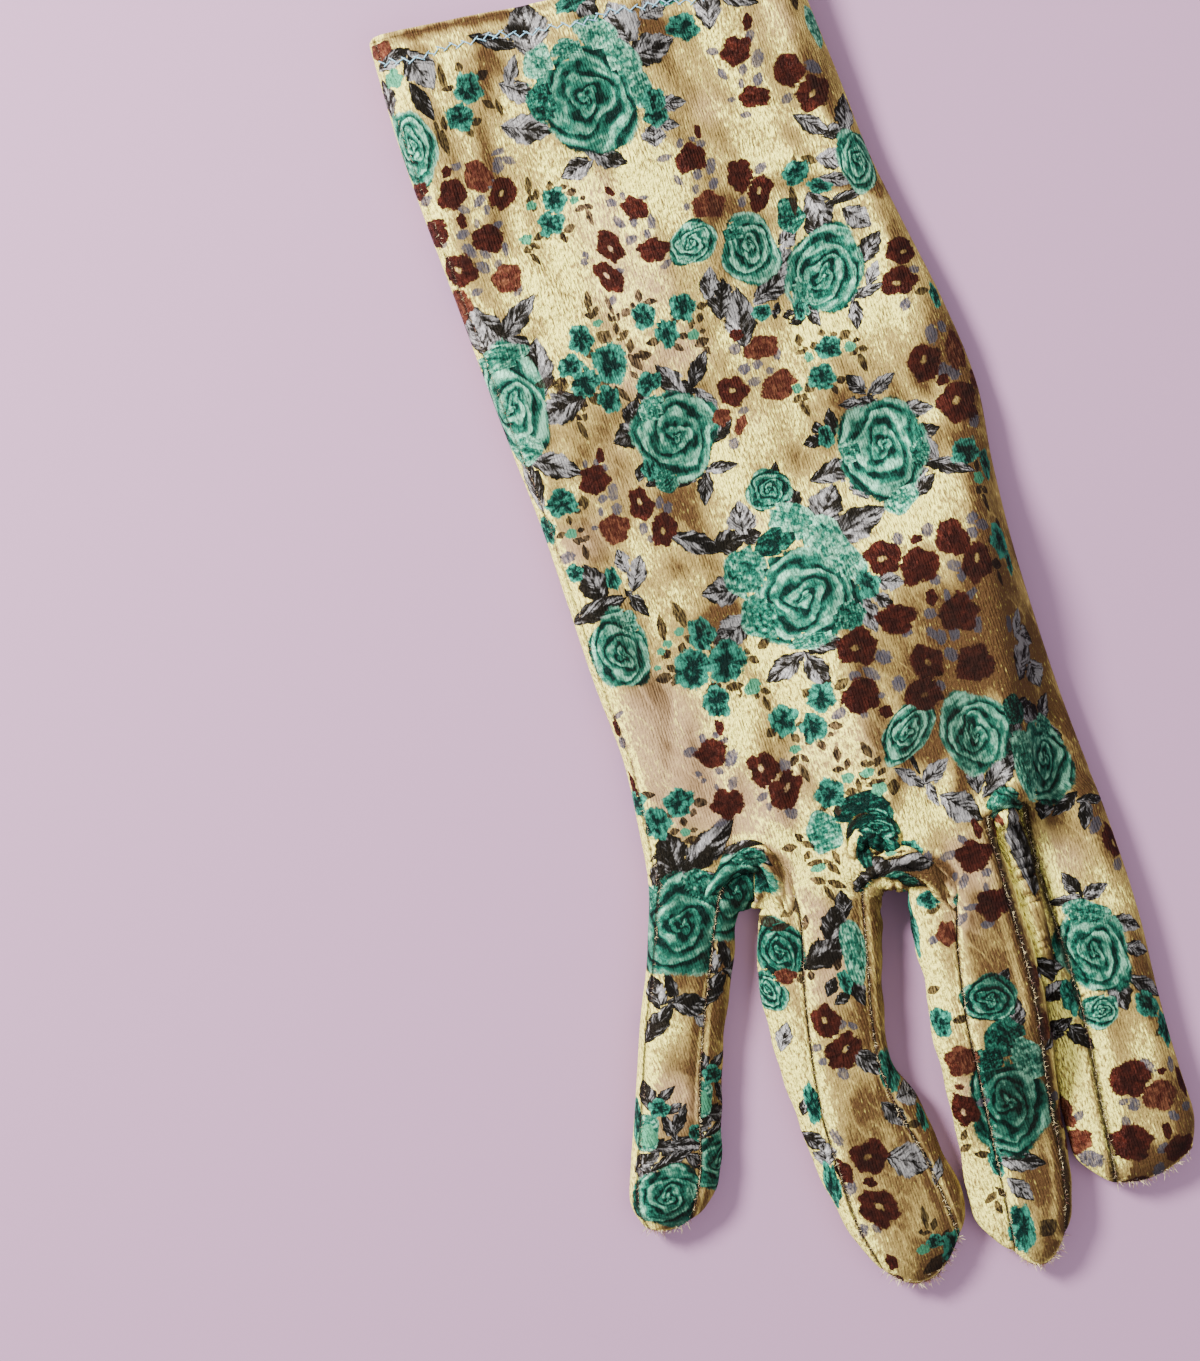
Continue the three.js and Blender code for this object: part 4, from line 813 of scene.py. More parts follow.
dots = of_kind(
    dot,
    (3.6, 46.8, 2.2, 1.3), (-0.3, 41.2, 2.3, 1.9, 60), (-29.7, 46.8, 1.6, 1, 80),
    (-27.4, 46.3, 1.6, 1.2, 80), (-26.3, 44.8, 1.6, 1.4), (-26.2, 39.7, 3.1, 1.9, 75),
    (-28.5, 39.1, 1.8, 1.5), (-26.5, 36.3, 2.2, 1.9, 60), (-29.6, 36.8, 1.7, 1, 80),
    (-31.9, 34.1, 1.2, 1), (-18.1, 34.7, 2.1, 1.4, 60), (-16.9, 33.2, 2.2, 1.7, 70),
    (-22.6, 30.8, 2.3, 1.6, 80), (-21.7, 28.4, 1.6, 1.5), (-38.7, 30.2, 2.8, 2.2), (5.9, 59, 2.2, 2),
    (6.4, 54.7, 2.4, 2.1), (9.1, 54.7, 2, 1.7), (7.5, 51.6, 2.6, 1.8), (13.6, 55.6, 2.5, 1.5, 80),
    (11.1, 52.7, 1.6, 1.4), (40.7, 56.6, 2.4, 1.9, 50), (44.5, 62.7, 1.8, 1.5),
    (43.6, 49.4, 3.6, 2.1, 80), (46.1, 50.2, 2.1, 1.6, 90), (43.6, 42.1, 2.6, 1.9, 60),
    (45.4, 40.9, 3, 2.2, -60), (46.4, 30.6, 3, 2, 60), (-28, -14.3, 2.7, 1.9),
    (-24.6, -12.5, 2.2, 1.4, 90), (-21.9, -12.6, 1.5, 1.3), (-21, -14.1, 2.1, 1.3),
    (-20.5, -17.9, 3.6, 2.2, 55), (-28.2, -19.1, 1.6, 1, 80), (-23.7, -19.6, 1.7, 1.5),
    (2.3, -16.1, 3.2, 1.8, 20), (-39, -2.7, 2.2, 1, 20), (-40.1, -8.1, 2.4, 1.6, 90),
    (23.9, 12.6, 2.5, 2.1, 60), (30, 12.5, 2.7, 2.2, 50), (38.9, 12, 2.4, 1.9, 60),
    (40.4, 10.2, 2.4, 1.9, -40), (38.1, 9.5, 2.4, 1.8, 80), (35.7, 6.6, 2, 1.7),
    (32.5, 4.3, 2.6, 2.1, -30), (33.2, 2.2, 2.4, 1.6, 80), (28, 3, 2.4, 2, -30),
    (25, -3.1, 2.4, 1.8, -20), (19.5, -5.2, 2.2, 1.5, 10), (24.3, -7, 3.2, 1.5, -60),
    (25.6, -8.2, 2.7, 1.9, 70), (28.2, -8.3, 2.6, 2, 80), (33, -8.1, 3.1, 1.6, 75),
    (29.3, -0.9, 2.5, 1.2, 80), (33.6, -2, 2.8, 1.4, 30), (13.6, -8.2, 3.2, 2.5, -30), (7, -10, 2.1, 1.8),
    (10.4, -10.6, 3.7, 2, -55), (14.8, -14.2, 3, 2.5, 70), (10.9, -15.3, 1.5, 1.1),
    (6.4, -17.6, 1.8, 1.3, -70), (26.4, -12, 2.8, 2.1, -60), (22.2, -17.2, 2.2, 1.9),
    (39.6, -9.9, 3.1, 1.4, 85), (-11, -22.8, 2.9, 2.3, -70), (-21.8, -22.7, 2.8, 1.6, 50),
    (-25.5, -22.6, 1.5, 1, 90), (-17, -27.1, 2.6, 1.3, 20), (-16.4, -29.3, 1.6, 1.1, 80),
    (-12.8, -31.9, 2.9, 2, -40), (-26.8, -29.4, 2.4, 1.3, 10), (-27.9, -20.5, 1, 0.9),
    (-43, 106.6, 2.6, 1.9), (-36.5, 102.4, 2.4, 1.5, -40), (-33, 103, 2.7, 1.7, 30),
    (-32.2, 101, 2.1, 1.2, 80), (-29.9, 105.6, 2.2, 1.4, 50), (-27.2, 108.8, 3.4, 2.2, 60),
    (-24.9, 109, 2.8, 1.6, -30), (-26.5, 111, 2.8, 1.5, 10), (-35.2, 110.9, 2, 1.6),
    (-42.6, 97.3, 2.4, 1.4, -20), (-38.3, 97.7, 2.4, 1.8), (-34.9, 99, 1.8, 1, 80),
    (-31.3, 97.4, 2.4, 1.4, 30), (-38, 94.2, 3.4, 1.8, -65), (-35.2, 92.7, 2.6, 1.8, -60),
    (-31.3, 92.4, 2.8, 1.2, 85), (-36.4, 90.2, 3, 2, -50), (-33.5, 89.8, 2, 1.3, 60),
    (-39.2, 86, 2.2, 1.4), (-31.3, 83.7, 2.4, 1.4, 40), (-16.4, 86, 1.7, 1.5, 60), (-16.9, 85, 1.6, 1.3),
    (-6.8, 86, 2.2, 1.8), (-3.5, 86, 2, 1.2, 80), (-8.1, 90, 3, 1.5, -60), (-5.3, 89.1, 2, 1.5, 90),
    (-2, 88, 2.8, 1.6, 80), (-2, 93.1, 1.8, 1), (-8.3, 94.1, 2.2, 1.5, -30), (-5.7, 94.8, 1.8, 1.1, 90),
    (-1.8, 79.2, 2.2, 1.3, 20), (-11, 81, 2, 1.1, -20), (-14, 75.9, 1.9, 1.5, 50),
    (8.1, 101, 1.9, 1.3, 60), (4.4, 99.1, 2.8, 1.4), (12.1, 99.8, 2.2, 1.5, 20),
    (11.1, 101.1, 1.7, 1, -30), (5.6, 94, 2.5, 1.2, -70), (9.5, 94, 2.2, 1.6, 80),
    (12.6, 94.9, 3.2, 1.8, 60), (8.3, 91.4, 1.8, 1.3, 80), (12, 91.4, 2.4, 1.7, 40),
    (5.6, 88.6, 1.6, 1.1, 70), (16.4, 86.3, 2, 1.5, 60), (22.2, 91.6, 2.6, 1.6, 20),
    (20.4, 116.3, 2.4, 1.5, -20), (20.8, 111.5, 2.4, 1.4, -60), (24.9, 111, 2.1, 1.5, 60),
    (28.2, 112, 3.4, 2.2, 60), (27.1, 108.2, 2.6, 1.8, 60), (23.8, 108.6, 1.8, 1.1, 80),
    (20.9, 106.3, 1.6, 1), (22.7, 102.4, 2, 1.3, -10), (31.5, 103, 2.2, 1.7, 20), (38, 107, 3, 2, -50),
    (28, 116.6, 2.4, 1.6, 60), (-16.8, -75, 2, 1.8), (-14.7, -76, 2, 1.2, -50), (-22.6, -78, 1.8, 1.5),
    (-22.4, -81, 1.7, 1.5), (-19.4, -84.4, 2.6, 1.9, -70), (-24.6, -96.2, 3.6, 1.7, -75),
    (-25.2, -106.6, 2.8, 2.2, 60), (-25.3, -115.4, 2.8, 1.8, 70), (-22.9, -115.8, 2, 1.3, -50),
    (9.4, -48.4, 2.6, 1.6, 60), (13.4, -49.2, 3.4, 1.6), (17, -47.2, 2.2, 1.4, -60),
    (14.7, -55, 3, 1.6, 60), (13.4, -53.5, 1.6, 1, 70), (19.3, -54.7, 2, 1.5), (18.3, -57.6, 2, 1.1, 80),
    (14.6, -60.2, 3, 1.2), (16.4, -64.4, 2.6, 1.5), (12, -62, 3, 1.5, 40), (5.6, -64.2, 2, 1.6),
    (43.6, -53.5, 3.2, 2, 50), (45.6, -62.4, 2.6, 2, 40), (38.3, -102, 3.4, 1.9, -60),
    (42.8, -103.4, 2.6, 1.4, 80), (33.4, -108.4, 2.6, 2.2, 80), (31.6, -107.4, 1.8, 1.2),
    (30.9, -111.4, 2.2, 1.6, 90), (40.1, -113.2, 2.2, 1.4, -60), (43.2, -112.4, 2, 1.5),
    (36.2, -118.6, 2.2, 1.7, 30), (34.2, -122.6, 3, 2, 60), (22.4, -107.6, 2.6, 1.5, 30),
    (22.2, -116.4, 5, 3, -30), (18.8, -101.6, 2.6, 1.6, -40), (-38, -58, 2.6, 1.6, 60),
    (-36, -59.8, 2, 1.4, -30), (-39, -61.6, 2.4, 1.7, -30), (-50.4, -93.4, 3.2, 2.8),
    (5, -97.8, 2.2, 1.6))
sprigs = of_kind(
    sprig,
    (-31.7, 64.3, 4.6, 2, -10), (-29.2, 63, 3.8, 2.6, 60), (-22, 67.4, 2.2, 1.9, 90),
    (-21, 60.9, 3.6, 3, 20), (-23.8, 58.4, 3.8, 2.2, -60), (-18.3, 57.7, 4.4, 1.2, -60),
    (-26.2, 57.7, 2.4, 1.3, 70), (-27.1, 55.6, 2.6, 1.6, 50), (-28, 53.4, 4.4, 1.2, -80),
    (-28, 55.9, 1.8, 1, 130), (-18.1, 69.4, 3.2, 2.4, -50), (-14.4, 68.6, 3.4, 1.6, 20),
    (-15.3, 70.4, 2.6, 1.2, 80), (-13.7, 66.1, 2.8, 1.5, 70), (-12.1, 63.6, 4.1, 1.9, -8),
    (-13.8, 62.8, 4.2, 1.6, -65), (-14.8, 60.5, 2.2, 1, -60), (-9.1, 65.4, 2.7, 1.5, 170),
    (-4.8, 63, 2.6, 1.3, -50), (-3.1, 64.8, 2.3, 1.3, -20), (-3.3, 68.4, 1.9, 1.4),
    (-0.8, 66.6, 2.2, 1.2, 70), (0, 62.4, 3, 1.9, 10), (0.5, 60.7, 2.4, 1.1, -70), (0.8, 64.5, 1.2, 1),
    (2.3, 69.3, 2.2, 1.4), (-32.4, 39.6, 2.6, 2, 80), (-34, 38.4, 1.4, 1), (-36.1, 37.1, 1.8, 1.1, 80),
    (-38.5, 34.9, 1.9, 1.2, 10), (-35.6, 32.6, 2.4, 1.4, -30), (-34.4, 32.5, 2.2, 1.3, 210),
    (-35.1, 30, 3.2, 1.1, 88), (-34.6, 34.6, 1.3, 1), (18.6, 56.6, 2.6, 1.5, 80),
    (18.5, 54.4, 2.6, 1.4, 10), (21.2, 54.5, 1.9, 1.5), (23.4, 56.5, 1.5, 1.2, 90),
    (25.5, 55.4, 1.5, 1.2), (27.5, 54.7, 2.6, 1.7, 20), (29.3, 52.9, 1.5, 1), (28.2, 51, 2, 1.4, 210),
    (30, 51, 2, 1.2, -20), (29.1, 48.5, 4.3, 1.4, -85), (17.7, 47, 2.6, 1.9, 20),
    (14.6, 45.6, 2.2, 1.4, 210), (16, 45.6, 2.2, 1.4, -30), (15.4, 43.4, 3.9, 1.4, -80),
    (23.9, 46.5, 2.2, 1.4), (22.1, 45.1, 2.2, 1.2, -80), (44.5, 58.1, 2.7, 1.5), (-25.4, 11, 5, 1.7, 85),
    (-21.3, 12.4, 5.6, 2, 97), (-26.2, 5.8, 2.2, 1.8, 30), (-28.2, 1.4, 3.7, 2, 180),
    (-26.4, 0.4, 2.4, 1.5, 60), (-26.2, 2.8, 2.2, 1.4, -50), (-16, 5.1, 2.2, 1.8, 60),
    (-17.4, 3.7, 2.2, 1.3, -60), (-22.8, 6, 2.2, 1.5, 60), (-21, 7.2, 2.2, 1.4, -50),
    (-19.4, -3.6, 3.2, 2, 10), (-15.6, -4.6, 3.6, 1.7, -10), (-14.9, -6, 2.1, 1, 80),
    (-22.2, -6.5, 1.5, 1.1, 80), (-11.4, 0.8, 2.2, 1.4, 60), (-10.2, -0.8, 2.4, 1.5, -40),
    (-7.1, 1.6, 3.1, 1.8, 20), (-11.7, -7.5, 2.2, 1.4, 230), (-10.1, -7.5, 2.2, 1.4, -30),
    (-10.6, -9.9, 3.2, 1.2, -85), (-2.1, -10.3, 2.2, 1.8, 30), (-11.6, -15.6, 2.4, 1.8, 210),
    (-7.2, -18.1, 2.5, 1.6, -60), (-5.5, -15.9, 1.8, 1.1), (4.3, -10.7, 3, 1.8, 25),
    (1, -18.1, 2.8, 1.5, -20), (2.2, -9.5, 1.9, 1), (-10, -17, 1.4, 1), (-4.8, -19.6, 1.9, 1.3, 10),
    (-2.7, -21, 2.4, 1.5, -80), (-0.4, -19.6, 1.4, 1.2), (-9, -22.4, 2.6, 1.6, 210),
    (-6.9, -22.5, 2.6, 1.3, -50), (-7.9, -25.2, 4, 1.3, -80), (-0.5, -23.6, 3.4, 1.4, 80),
    (-1.2, -26.6, 2.4, 1.2, -10), (0.7, -26, 2.4, 1.3, 60), (4.8, -24.4, 3.6, 1.4, 105),
    (4.2, -27, 2.4, 1.6, -20), (6, -27.2, 2.2, 1.4, 60), (-29.6, -24.3, 3.2, 1.6, -25),
    (-31.2, -25.7, 1.8, 1.2, 50), (-33.6, -26.9, 2, 1.4, 80), (-35.6, -24.8, 2.4, 1.4, -10),
    (-39.2, -19.6, 3, 1.5, -15), (-36, -28.2, 2, 1.2), (-32.2, -29.1, 1.7, 1),
    (-33.3, -31, 3.4, 1.5, -10), (-0.2, -31.5, 2.4, 1.6), (1.4, -30.8, 3, 1.2, 80), (4.6, -31.2, 4, 1.4),
    (3, -29.2, 2.4, 1.4, -50), (6.2, -29.6, 2.2, 1.3, 40), (7.4, -33, 3, 2, 70),
    (-3.8, -34.2, 2.2, 1.4, 80), (-6.4, -33, 2, 1.2, 200), (-15.4, -38.4, 3, 1.5, -10),
    (-12.7, -37.2, 2.6, 1.4, -50), (-11.6, -38.9, 3, 1.2, -40), (-12.4, -41, 2.6, 1.1, 50),
    (-11, -43, 4, 1.6, -10), (-8.4, -44.4, 4.2, 1.5, -60), (-7, -43, 3, 1.2, -80),
    (43.8, 21.6, 2.3, 1.3, 80), (42.4, 16.9, 2.2, 1.4, 210), (44, 16.6, 2.2, 1.3, -40),
    (43.2, 14.5, 4.2, 1.2, -86), (45.5, 23.5, 1.7, 1.1), (40.8, 2, 2.8, 2, -20),
    (40.7, -0.7, 3.2, 1, -85), (41.3, 6.7, 1.8, 1.5), (45.2, 9.5, 2.4, 1.5, 85),
    (-22.8, 102.8, 3.8, 1.3, 80), (-23, 100.4, 2.6, 1.3, 20), (-21.8, 100.8, 2.2, 1.2, 80),
    (-18.6, 101.4, 2.2, 1.4, 80), (-16.4, 100.3, 1.9, 1.3), (-15, 98.9, 2.2, 1.6),
    (-23.1, 98.4, 1.6, 1.1, 60), (-23.8, 92.8, 2.8, 1.3, 20), (-17.7, 92.2, 2.6, 1.6, 10),
    (-19.2, 91, 2.5, 1.4, -80), (-22.2, 92.2, 1.5, 1, 60), (-14.2, 95.3, 2.6, 1.3, 10),
    (-12.8, 95, 2.4, 1.2, -30), (-13.1, 93, 3.8, 1.1, -85), (-13.2, 97, 1.3, 0.9),
    (-26.8, 90.9, 2.4, 1.4, 20), (-25.4, 91.2, 2.4, 1.2, -40), (-26.2, 88.8, 3.4, 1.1, -70),
    (-19, 77, 4.4, 1.4, 80), (-19.2, 74.4, 2.4, 1.4, -20), (-18.2, 74.8, 2.2, 1.2, 60),
    (-15, 75.2, 4.4, 1.1, 95), (-15.4, 72.6, 2.4, 1.5, -70), (-14.2, 72.4, 1.9, 1.2, 50),
    (-8.9, 75, 2.8, 1.3, 75), (-7.2, 73.3, 2.8, 1.2, -15), (-12.4, 72.8, 1.9, 1.7, 40),
    (-10.8, 73.6, 1.5, 1, 60), (-36.2, 117, 7, 1.7, -85), (-32.2, 128, 6, 1.4, 88),
    (-31.8, 125.8, 2.4, 1.4), (-28.4, 128.8, 2, 1.4, 90), (-24.8, 126, 3, 1.7, 20),
    (-25.2, 120.4, 3, 1.2, -50), (-23.4, 119.2, 3.6, 1.1, -85), (-34, 118.8, 2, 1.5),
    (-28.6, 118, 2.4, 1.4, 10), (-30.4, 116.4, 2, 1.2, -80), (-34.8, 119.6, 3, 1.3, 80),
    (1.2, 67.2, 2.2, 1.4, 60), (26.4, 83.6, 6, 1.6, 80), (29, 91, 1.8, 1, 60), (31.8, 90, 3.6, 1.4, -30),
    (38.8, 121, 5, 1.8, 80), (-24, -51.2, 5, 2, -20), (-19.6, -50.6, 3.4, 1.6, 20), (-22, -53, 4, 1.4),
    (-21.4, -64, 2, 1.4, 80), (-19.2, -64, 1.9, 1.3, 80), (-16.8, -53.6, 3, 1.3, 70),
    (-11.8, -46.4, 3.4, 1.4, -30), (-10.6, -49.4, 3.6, 1.3, -75), (-8.6, -48, 4, 1.4, -35),
    (-13.6, -63.6, 2.4, 1.5, 60), (-9.4, -98.6, 2.6, 1.5, -20), (-13.2, -116.8, 5, 1.3, 85),
    (-14.2, -119.4, 2.4, 1.2, -20), (-11.9, -118.6, 2.4, 1.2, 60), (-13.8, -126.2, 6, 2.4, 20),
    (-10.6, -121.6, 3, 1.4, 50), (2.4, -73.6, 3, 1.5, 10), (5.6, -80.6, 3, 1.6),
    (-0.4, -103.6, 2.6, 1.3, 60), (-1, -106.4, 3, 1.4, 20), (2, -108.6, 3.4, 1.5, -20),
    (0.8, -117.4, 3, 1.4, 30), (1.6, -119.6, 3, 1.2, -80), (4.2, -108, 2.4, 1.4), (9.4, -126.4, 4, 3, 30),
    (3, -117, 3, 1.2, -60), (42.6, -96.6, 2, 1.2, 30), (4.4, -50.2, 6, 1.6, -5), (8, -52.6, 5, 1.4, -30),
    (7.4, -58.4, 3, 1.6, 10), (23.6, -50.4, 4, 1.2, 80), (-42.8, -71, 4, 1.6, 10),
    (-43.4, -75.4, 3, 1.4, 20))
sprinkles = columns(motif, *dots, *sprigs)

print_repeat = 97
print_start = -42
petal_mark = 2  # added to a loose petal's lightness
leaf_slimness = 0.82
motif_reach = 2.6  # faces further out than this have no motif
nowhere = 8  # a place outside every motif
seed_step = 0.618
rose_layer = {key: np.concatenate([roses[key], petals[key]]) for key in roses}
rose_layer["tone"][len(roses["x"]):] += petal_mark
leaf_layer = dict(leaves, wide=leaves["wide"] * leaf_slimness)
print_layers = {  # each layer's chart, and how much larger its motifs are drawn
    "rose": (rose_layer, 1.12), "leaf": (leaf_layer, 1.44),
    "blossom": (blossoms, 1.12), "sprinkle": (sprinkles, 1.2)}


def motif_axes(table, growth=1.0):
    """Each motif's centre, and its two axes scaled so that its rim lies at a distance of 1."""
    turn = np.radians(table["turn"])
    centre = np.stack([table["x"], table["y"]], -1)
    along = np.stack([np.cos(turn), np.sin(turn)], -1) * 2 / growth / table["long"][:, None]
    beside = np.stack([-np.sin(turn), np.cos(turn)], -1) * 2 / growth / table["wide"][:, None]
    return centre, along, beside


def squared_distances(places, centre, along, beside):
    return ((places @ along.T - (centre * along).sum(1)) ** 2
            + (places @ beside.T - (centre * beside).sum(1)) ** 2)


def print_on(piece, face_places):
    """Gives each face the nearest motif of each layer, as a map of the place inside the motif."""
    corners = np.concatenate(face_places)
    counts = np.array([len(places) for places in face_places])
    owner = np.repeat(np.arange(len(counts)), counts)
    starts = np.concatenate([[0], np.cumsum(counts)[:-1]])
    repeat = np.floor((corners[:, :1] - print_start) / print_repeat)
    repeat = np.maximum(repeat[starts][owner], 0)
    corners = corners - np.concatenate([repeat * print_repeat, 0 * repeat], 1)
    middles = np.add.reduceat(corners, starts) / counts[:, None]
    for layer, (table, growth) in print_layers.items():
        centre, along, beside = motif_axes(table, growth)
        away = squared_distances(middles, centre, along, beside)
        nearest = np.argmin(away, axis=1)
        is_far = away[np.arange(len(nearest)), nearest] > motif_reach ** 2
        mine = nearest[owner]
        out = corners - centre[mine]
        inside = np.stack([(out * along[mine]).sum(1), (out * beside[mine]).sum(1)], -1)
        inside[is_far[owner]] = nowhere
        layer_map = piece.data.uv_layers.new(name=layer)
        layer_map.data.foreach_set("uv", inside.astype(np.float32).ravel())
        seed = nearest * seed_step % 1
        for name, values in (("tone", table["tone"][nearest]), ("seed", seed)):
            mark = piece.data.attributes.new(layer + "_" + name, "FLOAT", "FACE")
            mark.data.foreach_set("value", values.astype(np.float32))


# How the nap is painted: bright with painted highlight, pressed matte and pinkish, or brown with painted
# shade
patch = "x y long wide turn lift"
highlight_and_shade_patches = columns(
    patch,
    (-15, -9, 8, 22, -25, 1.0), (-8, 2, 8, 10, -30, 0.8), (26, 16, 12, 9, 20, 1.1),
    (19, 24, 14, 6, 30, 0.5), (-2, 38, 16, 9, 35, 0.9), (4, 30, 14, 10, 0, 0.7),
    (10, 40, 18, 10, 15, 0.6), (2, 96, 14, 18, 0, 1.0), (22, 98, 8, 26, -12, 0.5),
    (-24, 82, 16, 18, 0, 0.6), (34, 58, 20, 10, 0, 0.6), (8, 62, 10, 12, 0, 0.4), (22, 60, 14, 6, 0, 0.6),
    (-20, 16, 10, 12, 0, 0.5), (-16, -36, 12, 5, -50, 1.3), (-13, -44, 6, 14, 15, 0.9),
    (11, -38, 12, 9, -10, 0.9), (8, -42, 8, 8, 0, 0.8), (38, -70, 14, 8, 30, 0.8),
    (44, -66, 6, 20, 0, 0.8), (41, -100, 10, 14, 0, 0.8), (2, -70, 6, 20, 0, 0.8),
    (-27, -80, 5, 20, 0, 0.6), (-50, -66, 10, 6, 20, 0.6), (24, -66, 3, 40, 0, 0.8),
    (3, -116, 8, 16, 0, 0.7), (-32, 56, 6, 6, 0, 0.3), (31, -92, 3, 30, 0, 0.7),
    (30, -8, 22, 22, 40, -0.9), (24, -20, 20, 16, 20, -1.0), (36, -16, 14, 14, 0, -0.9),
    (36, 0, 10, 8, 0, -0.5), (-17, 9, 8, 7, 0, -1.1), (-12, 10, 8, 5, 0, -0.9),
    (-13, 34, 14, 9, 30, -0.8), (20, 43, 12, 6, 10, -0.6), (17, -28, 12, 8, 0, -1.0),
    (-19, 21, 8, 6, 0, -0.7), (14, 86, 10, 6, -20, -0.7), (28, 95, 6, 10, 0, -0.4),
    (-40, 90, 8, 24, 0, -0.7), (-24, 127, 16, 8, -10, -0.5), (11, 124, 8, 6, 0, -0.9),
    (11, 30, 5, 12, 0, -0.6), (-32, 55, 12, 8, 20, -0.8), (40, 30, 10, 8, 0, -0.5),
    (14, -70, 12, 22, 0, -0.7), (11, -118, 9, 16, 0, -0.8), (12, -94, 12, 20, 0, -0.2),
    (-18, -92, 8, 12, 0, -0.5), (-17, -110, 14, 16, 0, -0.5), (-44, -57, 8, 6, 0, -0.6),
    (26, -70, 8, 20, 0, -0.2), (32, -120, 14, 6, 0, -0.6), (36, -45, 8, 6, 0, -0.2),
    (-42, -40, 20, 8, 0, -0.2), (-26, 137.8, 30, 4, -7, -1.0), (36, 83, 22, 4, -20, -1.0),
    (34, 88, 18, 3, -20, 0.8), (8, 134, 20, 4, -7, -0.8), (-24, 6, 4, 16, 0, -0.4),
    (6, -50, 18, 8, -25, -1.5), (-22, -39, 12, 5, 0, -0.7), (38, 104, 8, 10, 0, -0.6),
    (-19, 112, 10, 8, 20, -0.7), (-7, -98, 4, 20, 0, -0.2))
blush_patches = columns(
    patch,
    (-33, -6, 22, 22, 0, 1.0), (-30, -22, 22, 20, 0, 1.0), (-18, -30, 18, 14, 0, 0.9),
    (-15, -50, 8, 26, 15, 0.9), (-10, 84, 16, 18, 0, 1.0), (-12, 96, 14, 14, 0, 0.8),
    (-10, 76, 18, 12, 0, 0.9), (-16, 62, 14, 14, 0, 0.8), (-4, 62, 12, 10, 0, 0.9),
    (-36, 32, 14, 12, 0, 0.9), (0, -22, 24, 16, 0, 0.6), (16, -52, 12, 14, 0, 0.9),
    (-53, -80, 14, 20, -25, 0.9), (-2, -108, 6, 12, 0, 0.5), (16, 106, 12, 12, 0, 0.5),
    (36, -57, 14, 14, 0, 0.5), (12, -62, 10, 10, 0, 0.6), (34, 118, 12, 14, 0, 0.5),
    (-17, -66, 14, 16, 10, 0.7), (2, -96, 6, 12, 0, 0.9), (-24, 44, 8, 20, 0, 0.4), (4, 44, 8, 8, 0, 0.4),
    (14, 2, 14, 12, 0, 0.3), (-1, 24, 5, 6, 0, 0.8))
patch_falloff = 1.1


def patches_at(x, y, table):
    away = squared_distances(np.stack([x, y], -1), *motif_axes(table))
    return (np.exp(-patch_falloff * away) * table["lift"]).sum(1)


hand_seam_share = 0.05
finger_seam_share = 0.09
edge_line_points = 400
tip_line_points = 40


def edge_of_strip(name, share, is_palm):
    """Line across the hand and one finger, at a share of the strip's width."""
    share = np.full((1, 1), share)
    on_finger = finger_points(name, share, finger_stations(name)[:, None], is_palm)
    return (on_finger if is_palm else soften(on_finger, False)).reshape(-1, 3)


def tip_line(name):
    share = np.linspace(0, 1, tip_line_points)[None, :]
    return finger_points(name, share, np.full((1, 1), last_row(name)), False).reshape(-1, 3)


def edge_seam():
    """The seam of the back and the palm, along the hand's outer edge and the little finger."""
    run = np.linspace(0, 1, edge_line_points)[:, None]
    on_hand = soften(hand_points("pinky", np.full((1, 1), hand_seam_share), run, False), False)
    on_finger = edge_of_strip("pinky", finger_seam_share, False)
    return np.concatenate([on_hand.reshape(-1, 3), on_finger])


seams = {"edge": edge_seam()}
for name in fingers:
    seams[name + " tip"] = tip_line(name)
    for end, share in (("left", 0.0), ("right", 1.0)):
        if slot_beside(name, end) is not None:
            seams[name + " " + end] = edge_of_strip(name, share, False)
            seams[name + " " + end + " below"] = edge_of_strip(name, share, True)

# Rolls of bunched cloth at the crotches: the path and thickness of each one, how deep its ribs
# are, and how far its print is moved
roll_columns = "x y sink radius"
rolls = {
    "fourchette_pinky_ring": [
        (columns(roll_columns, (-35.2, -44.6, 0.9, 0.7), (-32.2, -41.6, 0.5, 1.5),
                 (-28.4, -38.6, 0.0, 2.1), (-24.6, -37.2, -0.2, 2.3), (-21.2, -38.4, 0.0, 2.3),
                 (-19.4, -42.4, 0.1, 2.1), (-19.2, -47.0, 0.5, 1.5), (-19.6, -51.0, 0.9, 0.7)),
         0.26, (-10.5, -2.5))],
    "fourchette_ring_middle": [
        (columns(roll_columns, (-5.4, -51.6, 0.9, 0.7), (-3.6, -48.8, 0.5, 1.5),
                 (0.0, -47.2, 0.1, 1.9), (3.8, -47.6, -0.1, 2.4), (7.0, -49.6, -0.1, 2.6),
                 (9.6, -52.4, 0.1, 2.3), (11.0, -56.0, 0.5, 1.6), (11.2, -60.0, 0.9, 0.7)),
         0.28, (-37, 14)),
        (columns(roll_columns, (-3.4, -45.4, 0.9, 0.8), (-2.6, -42.0, 0.4, 1.8),
                 (-0.4, -40.0, 0.1, 2.4), (2.2, -41.0, 0.1, 2.6), (3.4, -43.8, 0.3, 2.2),
                 (3.0, -46.6, 0.9, 1.2)),
         0.3, (0, 0))],
    "fourchette_middle_index": [
        (columns(roll_columns, (23.4, -44.6, 0.9, 0.6), (25.0, -42.8, 0.2, 1.4),
                 (27.0, -42.0, 0.0, 1.7), (29.0, -42.8, 0.2, 1.4), (30.4, -44.8, 0.9, 0.6)),
         0.16, (9, 2)),
        (columns(roll_columns, (26.9, -43.6, 1.4, 1.0), (26.8, -47.0, 0.9, 2.2),
                 (26.6, -53.0, 0.8, 2.5), (26.2, -60.0, 0.9, 2.4), (25.8, -67.0, 1.2, 2.2),
                 (25.4, -74.0, 1.7, 1.6), (25.2, -80.0, 2.6, 0.7)),
         0.05, (0, 0))],
}
roll_rings = 60
roll_sides = 36
seam_samples = 8
roll_flatness = 0.85
roll_end_round = 0.25
cap_rings = 4  # a roll's rounded ends have no seam


